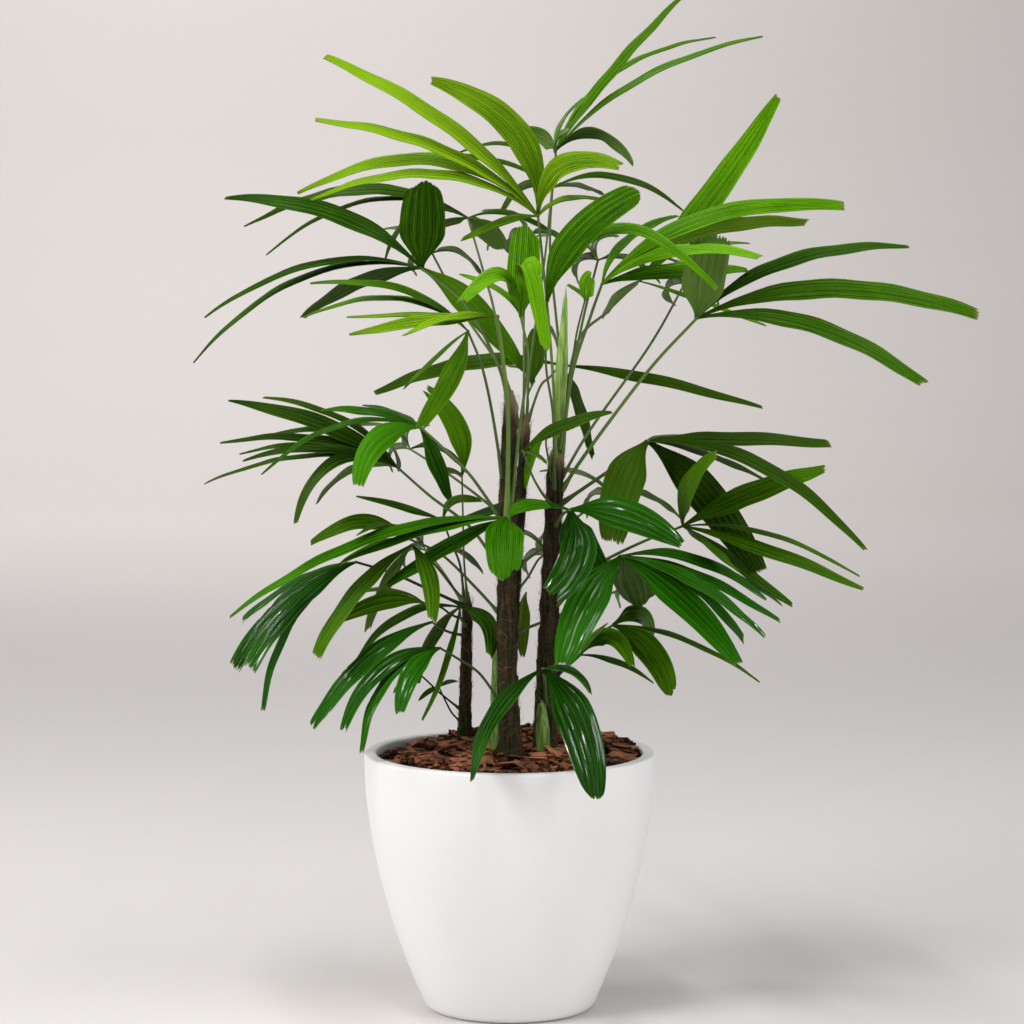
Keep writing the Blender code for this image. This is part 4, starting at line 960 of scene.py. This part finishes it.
class Nodes:
    """A small hand for building a node tree from left to right."""

    def __init__(self, tree):
        self.tree = tree

    def fill(self, node, inputs):
        for key, value in dict(inputs).items():
            if isinstance(value, bpy.types.NodeSocket):
                self.tree.links.new(value, node.inputs[key])
            else:
                node.inputs[key].default_value = value

    def add(self, kind, inputs=(), **settings):
        node = self.tree.nodes.new(kind)
        for key, value in settings.items():
            setattr(node, key, value)
        self.fill(node, inputs)
        return node

    def math(self, operation, *values):
        return self.add("ShaderNodeMath", enumerate(values), operation=operation).outputs[0]

    def times(self, first, second):
        return self.math("MULTIPLY", first, second)

    def plus(self, first, second):
        return self.math("ADD", first, second)

    def swung(self, shade, pattern, middle, amount):
        """The shade, with this much of a pattern's swing about its middle added to it."""
        return self.plus(shade, self.times(self.math("SUBTRACT", pattern, middle), amount))

    def held(self, shade):
        """The shade, kept from 0 to 1."""
        return self.math("MINIMUM", self.math("MAXIMUM", shade, 0.0), 1.0)

    def ramp(self, value, low, high):
        """A soft step from 0 at the low value to 1 at the high one."""
        inputs = {"Value": value, "From Min": low, "From Max": high}
        return self.add("ShaderNodeMapRange", inputs, interpolation_type="SMOOTHSTEP").outputs["Result"]

    def folds(self, pleat, count):
        """How far a place is from the nearest fold, where a leaflet has this many folds to a rib."""
        return self.math("PINGPONG", self.times(pleat, count), 0.5)

    def mix(self, factor, first, second):
        """A blend of two colours, each a socket or three numbers."""
        inputs = {0: factor}
        for key, colour in ((6, first), (7, second)):
            inputs[key] = colour if isinstance(colour, bpy.types.NodeSocket) else (*colour, 1)
        return self.add("ShaderNodeMix", inputs, data_type="RGBA").outputs[2]

    def place(self):
        return self.add("ShaderNodeTexCoord").outputs["Object"]

    def stretched(self, place, stretch, turn=0.0):
        inputs = {"Vector": place, "Rotation": (0, turn, 0), "Scale": stretch}
        return self.add("ShaderNodeMapping", inputs).outputs[0]

    def noise(self, place, scale=1.0, detail=2.0):
        return self.add("ShaderNodeTexNoise", {"Vector": place, "Scale": scale, "Detail": detail}).outputs[0]

    def tone(self):
        return self.add("ShaderNodeAttribute", attribute_name="tone").outputs["Fac"]


COLOUR, NUMBER = "NodeSocketColor", "NodeSocketFloat"


def effect(name, inputs, outputs):
    """A shader node group with these named sockets, and a hand to fill it."""
    group = bpy.data.node_groups.new(name, "ShaderNodeTree")
    for way, sockets in (("INPUT", inputs), ("OUTPUT", outputs)):
        for label, kind in sockets.items():
            group.interface.new_socket(name=label, in_out=way, socket_type=kind)
    hand = Nodes(group)
    return group, hand, hand.add("NodeGroupInput"), hand.add("NodeGroupOutput")


def shader_of(name, **sockets):
    """A material with its Principled shader's plain sockets set, and a hand for its nodes."""
    made = bpy.data.materials.new(name)
    made.use_nodes = True
    shader = made.node_tree.nodes["Principled BSDF"]
    for label, value in sockets.items():
        shader.inputs[label.replace("_", " ")].default_value = value
    return made, shader, Nodes(made.node_tree)


def bumped(hand, shader, height, strength, distance):
    """Feeds a height to the shader's normal."""
    bump = hand.add("ShaderNodeBump", {"Height": height, "Strength": strength, "Distance": distance})
    hand.fill(shader, {"Normal": bump.outputs[0]})


# How far the patterns on a leaflet swing its green: each one's middle and its amount
# The broad bands are partly painted light and shade, for the lit and the shaded half of a folded leaflet
BAND_AND_SHADE_SWING = (0.5, 0.7)
MOTTLE_SWING = (0.5, 0.4)
GRAIN_SWING = (0.5, 1.3)
SPECK_SWING = (0.5, 0.45)
VEIN_SWING = (0.6, 0.55)
LENGTH_SWING = (0.5, 0.16)

# The patterns' sizes: steps across and along the leaflet, then the noise's own scale and detail
GRAIN_STEPS = (9.0, 5.0, 1.0, 4.0)
BAND_AND_SHADE_STEPS = (1.0, 0.8, 1.3, 1.0)
STREAK_STEPS = (1.7, 2.8)
MOTTLE_SCALE = (34.0, 3.0)
FINE_SPECK = 520.0

# The soft steps of the ribs, fine lines and veins, of the dry tip and of the wax
RIB_STEP = (0.0, 0.11)
FINE_STEP = (0.05, 0.45)
VEIN_STEP = (0.0, 0.4)
TIP_STEP = (0.955, 1.0)
DRY_STEP = (0.35, 0.62)
WAX_STEP = (0.51, 0.61)
WAX_FROM = (0.08, 0.45)
FINE_LINES = 5.0
VEINS = 3.0
DRY_SHARE = 0.85
RELIEF_SHARES = (0.8, 0.3, 0.35)


def leaf_pattern():
    """Ribs and fine veins along a leaflet, broad bands partly of painted light and shade, a soft mottle, a dry
    tip and the streaks of its wax.
    """
    group, hand, given, out = effect("leaf_pattern",
        {"Dark": COLOUR, "Light": COLOUR, "Rib": COLOUR, "Dry": COLOUR, "Tone": NUMBER, "Rib Share": NUMBER},
        {"Color": COLOUR, "Height": NUMBER, "Gloss Mask": NUMBER, "Streak": NUMBER})
    uv = hand.add("ShaderNodeUVMap", uv_map="leaf").outputs[0]
    split = hand.add("ShaderNodeSeparateXYZ", {"Vector": uv})
    pleat, along = split.outputs["X"], split.outputs["Y"]
    place = hand.place()

    def drawn(wide, long, *noise_values):
        at = hand.add("ShaderNodeCombineXYZ", {"X": hand.times(pleat, wide), "Y": hand.times(along, long)})
        return hand.noise(at.outputs[0], *noise_values)

    rib = hand.math("SUBTRACT", 1.0, hand.ramp(hand.folds(pleat, 1.0), *RIB_STEP))
    fine = hand.ramp(hand.folds(pleat, FINE_LINES), *FINE_STEP)
    vein = hand.ramp(hand.folds(pleat, VEINS), *VEIN_STEP)
    grain, band_and_shade, streak = drawn(*GRAIN_STEPS), drawn(*BAND_AND_SHADE_STEPS), drawn(*STREAK_STEPS)
    mottle = hand.noise(place, *MOTTLE_SCALE)
    speck = hand.noise(place, FINE_SPECK)
    # The tone and the broad bands carry painted light and shade as well as the leaflet's own greens
    shade = given.outputs["Tone"]
    for pattern, swing in ((band_and_shade, BAND_AND_SHADE_SWING), (mottle, MOTTLE_SWING), (grain, GRAIN_SWING),
            (speck, SPECK_SWING), (vein, VEIN_SWING), (along, LENGTH_SWING)):
        shade = hand.swung(shade, pattern, *swing)
    colour = hand.mix(hand.held(shade), given.outputs["Dark"], given.outputs["Light"])
    colour = hand.mix(hand.times(rib, given.outputs["Rib Share"]), colour, given.outputs["Rib"])
    faded = hand.times(hand.ramp(along, *TIP_STEP), hand.ramp(grain, *DRY_STEP))
    colour = hand.mix(hand.times(faded, DRY_SHARE), colour, given.outputs["Dry"])
    raised = [hand.times(pattern, share) for pattern, share in zip((rib, fine, grain), RELIEF_SHARES)]
    hand.fill(out, {
        "Color": colour,
        "Height": hand.plus(hand.plus(raised[0], raised[1]), raised[2]),
        "Gloss Mask": hand.plus(hand.times(mottle, 0.5), hand.times(grain, 0.5)),
        "Streak": hand.times(hand.ramp(streak, *WAX_STEP), hand.ramp(along, *WAX_FROM)),
    })
    return group


# What all leaves share: the tint of their sheen, their dry tips, their wax and their relief
SHEEN_TINT = (0.6, 1.0, 0.4, 1)
DRY_TIP = (0.26, 0.22, 0.07, 1)
COAT_ROUGHNESS = 0.13
COAT_IOR = 1.65
GLOSS_SWING = (0.5, 0.3)
LEAF_BUMP = 0.35
LEAF_RELIEF = 0.0006

# Each leaf finish: its name, its darkest and its lightest green and that of its ribs; then how much of the ribs
# shows, the roughness and the specular level; and a stronger bump and wax in streaks, where it has them
UPPER_FINISHES = {
    # The lime greens are partly the young leaflets' own colour and partly painted light for the light that
    # shines through them
    "leaf_bright": ("leaf_lime", (0.024, 0.085, 0.001), (0.25, 0.45, 0.009), (0.022, 0.082, 0.001),
        0.8, 0.45, 0.06),
    "fresh": ("leaf_fresh", (0.018, 0.09, 0.0008), (0.17, 0.44, 0.003), (0.025, 0.105, 0.001),
        0.5, 0.38, 0.08),
    "leaf_green": ("leaf_mid", (0.009, 0.042, 0.0008), (0.088, 0.23, 0.002), (0.085, 0.23, 0.008),
        0.4, 0.34, 0.08),
    "vivid": ("leaf_vivid", (0.005, 0.036, 0.0005), (0.054, 0.23, 0.0012), (0.07, 0.22, 0.006),
        0.4, 0.34, 0.08),
    "leaf_deep": ("leaf_dark", (0.005, 0.021, 0.0006), (0.047, 0.112, 0.003), (0.075, 0.16, 0.01),
        0.42, 0.36, 0.07),
    "glossy": ("leaf_gloss", (0.001, 0.014, 0.0003), (0.022, 0.15, 0.001), (0.05, 0.2, 0.004),
        0.4, 0.3, 0.1, 0.6, True),
    "leaf_old": ("leaf_aged", (0.04, 0.09, 0.003), (0.15, 0.25, 0.01), (0.2, 0.24, 0.05),
        0.25, 0.5, 0.1),
}
UNDER_FINISHES = {
    # The plain underside's lightest green is raised above its own colour: painted light that lifts undersides
    # lying in shade
    "plain": ("leaf_under", (0.024, 0.058, 0.008), (0.125, 0.225, 0.042), (0.13, 0.22, 0.05),
        0.4, 0.5, 0.03),
    "lime": ("leaf_lime_under", (0.045, 0.13, 0.005), (0.19, 0.34, 0.02), (0.05, 0.15, 0.008),
        0.5, 0.5, 0.06),
}
LIME_LOOKS = ("leaf_bright", "fresh")


def leaf_finish(pattern, name, dark, light, rib, rib_share, gloss, sheen, bump=LEAF_BUMP, waxy=False):
    """A leaflet's surface: its two greens by tone, with ribs, veins and a satin skin."""
    made, shader, hand = shader_of(name, Specular_IOR_Level=sheen, Specular_Tint=SHEEN_TINT)
    looks = hand.add("ShaderNodeGroup", node_tree=pattern, inputs={
        "Dark": (*dark, 1), "Light": (*light, 1), "Rib": (*rib, 1), "Dry": DRY_TIP,
        "Tone": hand.tone(), "Rib Share": rib_share}).outputs
    hand.fill(shader, {
        "Base Color": looks["Color"],
        "Roughness": hand.swung(gloss, looks["Gloss Mask"], *GLOSS_SWING),
    })
    bumped(hand, shader, looks["Height"], bump, LEAF_RELIEF)
    if waxy:
        hand.fill(shader, {"Coat Roughness": COAT_ROUGHNESS, "Coat IOR": COAT_IOR})
        hand.fill(shader, {"Coat Weight": looks["Streak"]})
    return made


def leaf_finishes():
    """For each look of a fan, the finishes of its upper sides and its paler undersides."""
    pattern = leaf_pattern()
    upper = {look: leaf_finish(pattern, *row) for look, row in UPPER_FINISHES.items()}
    under = {look: leaf_finish(pattern, *row) for look, row in UNDER_FINISHES.items()}
    return {look: (upper[look], under["lime" if look in LIME_LOOKS else "plain"]) for look in upper}


def stalk_finish():
    """The fans' stalks: smooth olive green, paler and browner in patches."""
    made, shader, hand = shader_of("stalk_green", Roughness=0.42, Specular_IOR_Level=0.3)
    dark, pale, brown = (0.010, 0.022, 0.005), (0.16, 0.27, 0.05), (0.07, 0.045, 0.02)
    place = hand.place()
    speck = hand.noise(place, FINE_SPECK)
    shade = hand.held(hand.swung(hand.tone(), hand.noise(place, scale=14.0), middle=0.5, amount=0.8))
    browned = hand.times(hand.ramp(speck, low=0.58, high=0.75), 0.45)
    hand.fill(shader, {"Base Color": hand.mix(browned, hand.mix(shade, dark, pale), brown)})
    bumped(hand, shader, speck, strength=0.15, distance=0.0003)
    return made


def fibre_weave():
    """Crossed fibres on a cane: upright strands and slanting ones, with gaps between them."""
    group, hand, given, out = effect("fibre_weave", {"Scale": NUMBER}, {"Strands": NUMBER, "Gaps": NUMBER})
    place = hand.place()

    def strands(turn, stretch):
        return hand.noise(hand.stretched(place, stretch, turn), given.outputs["Scale"], detail=5.0)

    upright = strands(turn=0.0, stretch=(3.0, 3.0, 0.22))
    slanting = (strands(turn, stretch=(3.2, 1.2, 0.25)) for turn in (1.1, -1.1))
    crossed = hand.math("MAXIMUM", *slanting)
    hand.fill(out, {
        "Strands": hand.plus(hand.times(upright, 0.5), hand.times(crossed, 0.5)),
        "Gaps": hand.ramp(hand.noise(place, scale=60.0, detail=3.0), low=0.35, high=0.6),
    })
    return group


def cane_finish(weave):
    """Canes: dark brown fibre mat with paler strands, a green cast low down and straw at the top."""
    made, shader, hand = shader_of("cane_mat", Roughness=0.9, Specular_IOR_Level=0.15)
    gap_brown, strand_brown, moss = (0.012, 0.008, 0.005), (0.10, 0.062, 0.034), (0.020, 0.036, 0.006)
    straw_dark, straw_pale = (0.07, 0.04, 0.02), (0.5, 0.4, 0.22)
    looks = hand.add("ShaderNodeGroup", node_tree=weave, inputs={"Scale": 130.0}).outputs
    strands, up = looks["Strands"], hand.tone()
    lower_half = hand.math("SUBTRACT", 1.0, hand.ramp(up, low=0.0, high=0.5))
    mossy = hand.times(looks["Gaps"], hand.plus(0.3, hand.times(lower_half, 0.5)))
    mat = hand.mix(hand.ramp(strands, low=0.42, high=0.7), gap_brown, strand_brown)
    at_top = hand.times(hand.ramp(up, low=0.9, high=0.98), 0.8)
    straw = hand.mix(strands, straw_dark, straw_pale)
    hand.fill(shader, {"Base Color": hand.mix(at_top, hand.mix(mossy, mat, moss), straw)})
    bumped(hand, shader, strands, strength=0.9, distance=0.0012)
    return made


def strand_finish():
    """The loose fibres, from dark brown to straw."""
    made, shader, hand = shader_of("cane_strand", Roughness=0.8, Specular_IOR_Level=0.2)
    dark, straw = (0.02, 0.013, 0.008), (0.26, 0.19, 0.11)
    speck = hand.noise(hand.place(), scale=300.0)
    shade = hand.times(hand.math("POWER", hand.tone(), 1.2), hand.plus(speck, 0.5))
    hand.fill(shader, {"Base Color": hand.mix(shade, dark, straw)})
    return made


def shoot_finish():
    """Young shoots: pale yellow green with darker lengthwise lines."""
    made, shader, hand = shader_of("shoot_skin", Roughness=0.4, Specular_IOR_Level=0.3)
    line_dark, line_pale, patch_green = (0.012, 0.05, 0.003), (0.12, 0.27, 0.03), (0.10, 0.16, 0.03)
    skin_dark, skin_pale = (0.07, 0.17, 0.01), (0.40, 0.58, 0.14)
    place, tone = hand.place(), hand.tone()
    lines = hand.noise(hand.stretched(place, (9.0, 9.0, 0.35)), scale=60.0, detail=3.0)
    line, skin = hand.mix(tone, line_dark, line_pale), hand.mix(tone, skin_dark, skin_pale)
    patched = hand.times(hand.ramp(hand.noise(place, scale=25.0), low=0.5, high=0.7), 0.4)
    colour = hand.mix(patched, hand.mix(hand.ramp(lines, low=0.35, high=0.65), line, skin), patch_green)
    hand.fill(shader, {"Base Color": colour})
    bumped(hand, shader, lines, strength=0.4, distance=0.0006)
    return made


# The finishes of the mulch: their name, darkest and lightest brown and the scale of their grain
MULCH_FINISHES = (
    ("mulch_fines", (0.010, 0.004, 0.0025), (0.085, 0.031, 0.016), 300.0),
    ("mulch_flakes", (0.014, 0.006, 0.0035), (0.52, 0.21, 0.11), 160.0),
)


def bark_finish(name, dark, light, grain_scale):
    """Bark mulch: each flake its own brown, with a fibrous grain and damp patches."""
    made, shader, hand = shader_of(name, Roughness=0.92, Specular_IOR_Level=0.15)
    place = hand.place()
    grain = hand.noise(place, grain_scale, detail=5.0)
    lumps = hand.noise(place, grain_scale / 5, detail=3.0)
    damp = hand.noise(place, scale=22.0)
    shade = hand.swung(hand.math("POWER", hand.tone(), 1.2), grain, middle=0.5, amount=0.9)
    shade = hand.swung(shade, lumps, middle=0.5, amount=0.8)
    shade = hand.swung(shade, damp, middle=0.56, amount=1.4)
    hand.fill(shader, {"Base Color": hand.mix(hand.held(shade), dark, light)})
    bumped(hand, shader, grain, strength=0.8, distance=0.0012)
    return made


def pot_finish():
    """The pot: matte white with a very fine grain and faint clouding."""
    made, shader, hand = shader_of("pot_paint")
    dull, white = (0.83, 0.835, 0.83), (0.88, 0.88, 0.875)
    place = hand.place()
    speck = hand.noise(place, scale=900.0)
    least_rough, rougher = 0.42, 0.16
    hand.fill(shader, {
        "Base Color": hand.mix(hand.noise(place, scale=9.0), dull, white),
        "Roughness": hand.plus(least_rough, hand.times(speck, rougher)),
    })
    bumped(hand, shader, speck, strength=0.12, distance=0.0002)
    return made


def backdrop_finish():
    """Pale paper for the floor and the wall behind."""
    made, shader, hand = shader_of("pale_paper", Roughness=0.95)
    dull, pale = (0.66, 0.63, 0.615), (0.72, 0.69, 0.67)
    hand.fill(shader, {"Base Color": hand.mix(hand.noise(hand.place(), scale=0.5), dull, pale)})
    return made


BACKDROP_WIDTH = 30.0
BACKDROP_DEPTH = 15.0
BACKDROP_ROWS = 60
WALL_FROM = 5.8
WALL_ROUND = 1.2
WALL_HEIGHT = 5.0


def backdrop():
    """A floor that rises in a soft curve to a wall."""
    bm = bmesh.new()
    bmesh.ops.create_grid(bm, x_segments=2, y_segments=BACKDROP_ROWS, size=0.5)
    for vert in bm.verts:
        reach = (vert.co.y + 0.5) * (BACKDROP_DEPTH + WALL_HEIGHT) - BACKDROP_DEPTH + WALL_FROM
        turn = min(max((reach - WALL_FROM) / WALL_ROUND, 0.0), math.pi / 2)
        left = max(reach - WALL_FROM - WALL_ROUND * math.pi / 2, 0.0)
        vert.co = (vert.co.x * BACKDROP_WIDTH, min(reach, WALL_FROM) + WALL_ROUND * math.sin(turn),
            WALL_ROUND * (1 - math.cos(turn)) + left)
    made = finished("backdrop", bm, backdrop_finish())


# Each soft lamp: its place, the point it faces, its width and height, its power and its colour
LAMPS = {
    "key": ((-2.6, -2.0, 2.4), (0, 0, 0.5), (1.5, 1.5), 86, (1.0, 0.985, 0.96)),
    "fill": ((3.0, -1.7, 1.3), (0, 0, 0.5), (2.4, 2.4), 56, (0.98, 0.985, 1.0)),
    "top": ((-0.45, -0.25, 2.8), (0.05, -0.1, 0.3), (2.4, 0.14), 34, (1.0, 1.0, 1.0)),
    "top_right": ((1.2, -0.1, 2.8), (0.1, -0.1, 0.4), (2.0, 0.1), 13, (1.0, 1.0, 1.0)),
    "side": ((-2.6, 0.5, 1.5), (-0.1, 0, 0.4), (0.1, 2.4), 20, (1.0, 1.0, 1.0)),
    "wall": ((-1.1, 4.7, 3.6), (-0.6, 7.0, 0.6), (2.5, 2.5), 108, (1.0, 0.975, 0.965)),
}
SKY_COLOUR = (0.95, 0.96, 1.0, 1)
SKY_STRENGTH = 0.22


def lights():
    """A soft key from the upper left, a weaker fill, narrow lamps for the gloss, the wall's lamp and a sky."""
    for name, (place, target, size, power, colour) in LAMPS.items():
        lamp = bpy.data.lights.new(name, "AREA")
        lamp.shape = "RECTANGLE"
        lamp.size, lamp.size_y = size
        lamp.energy = power
        lamp.color = colour
        made = bpy.data.objects.new(name, lamp)
        made.location = place
        made.rotation_euler = (Vector(target) - Vector(place)).to_track_quat("-Z", "Y").to_euler()
        bpy.context.scene.collection.objects.link(made)
    world = bpy.context.scene.world or bpy.data.worlds.new("sky")
    bpy.context.scene.world = world
    world.use_nodes = True
    sky = world.node_tree.nodes["Background"]
    sky.inputs["Color"].default_value = SKY_COLOUR
    sky.inputs["Strength"].default_value = SKY_STRENGTH


LENS = 123.05
SENSOR = 36.0


def camera():
    """The photograph's view, from the eye that the fans are laid out for."""
    made = bpy.data.objects.new("camera", bpy.data.cameras.new("camera"))
    made.data.lens = LENS
    made.data.sensor_width = SENSOR
    made.location = EYE
    made.rotation_euler = (math.radians(90) - SIGHT_PITCH, 0, 0)
    bpy.context.scene.collection.objects.link(made)
    bpy.context.scene.camera = made


# The fans of the bright and the deep slot, and those whose finish isn't the one of their slot's name
BRIGHT_FANS = (
    "frond_top_bright", "frond_centre_bright", "frond_centre_broad", "frond_right_lime", "frond_front_light",
    "frond_bud_small", "frond_centre_strap", "frond_right_tall",
)
DEEP_FANS = (
    "frond_left_cluster", "frond_left_glossy", "frond_right_fan", "frond_right_glossy", "frond_front_glossy",
    "frond_left_spoon", "frond_back_dusk", "frond_back_small", "frond_right_near", "frond_left_claw",
    "frond_left_bow", "frond_left_high", "frond_left_upper", "frond_centre_dark", "frond_back_upper",
)
LOOKS = {
    "glossy": ("frond_front_glossy", "frond_right_near", "frond_right_glossy", "frond_left_glossy",
        "frond_left_claw", "frond_left_bow"),
    "leaf_green": ("frond_left_spoon", "frond_left_high"),
    "fresh": ("frond_centre_bright", "frond_centre_broad", "frond_centre_strap", "frond_right_lime",
        "frond_right_tall", "frond_bud_small"),
    "vivid": ("frond_left_glow", "frond_front_long"),
}


def leaf_slot(name):
    """The record's slot of a fan: lime, deep green, old or plain green."""
    if name in BRIGHT_FANS:
        return "leaf_bright"
    if name in DEEP_FANS or name.startswith("frond_far"):
        return "leaf_deep"
    return "leaf_old" if name == "frond_old_leaf" else "leaf_green"


def main():
    """Makes every piece of the plant, and the stage, the lamps and the camera."""
    bpy.context.scene.view_settings.view_transform = "Standard"
    finishes = leaf_finishes()
    stalk = stalk_finish()
    looks = {name: look for look, names in LOOKS.items() for name in names}
    for name, plan in FANS.items():
        slot = leaf_slot(name)
        fan_piece(name, plan, (*finishes[looks.get(name, slot)], stalk), slot)
    cane_finishes = (cane_finish(fibre_weave()), strand_finish())
    for name, cane in CANES.items():
        cane_piece(name, cane, cane_finishes)
    young = shoot_finish()
    for name, shoot in SHOOTS.items():
        shoot_piece(name, shoot, young)
    pot_piece(pot_finish())
    mulch_piece([bark_finish(*row) for row in MULCH_FINISHES])
    backdrop()
    lights()
    camera()


main()
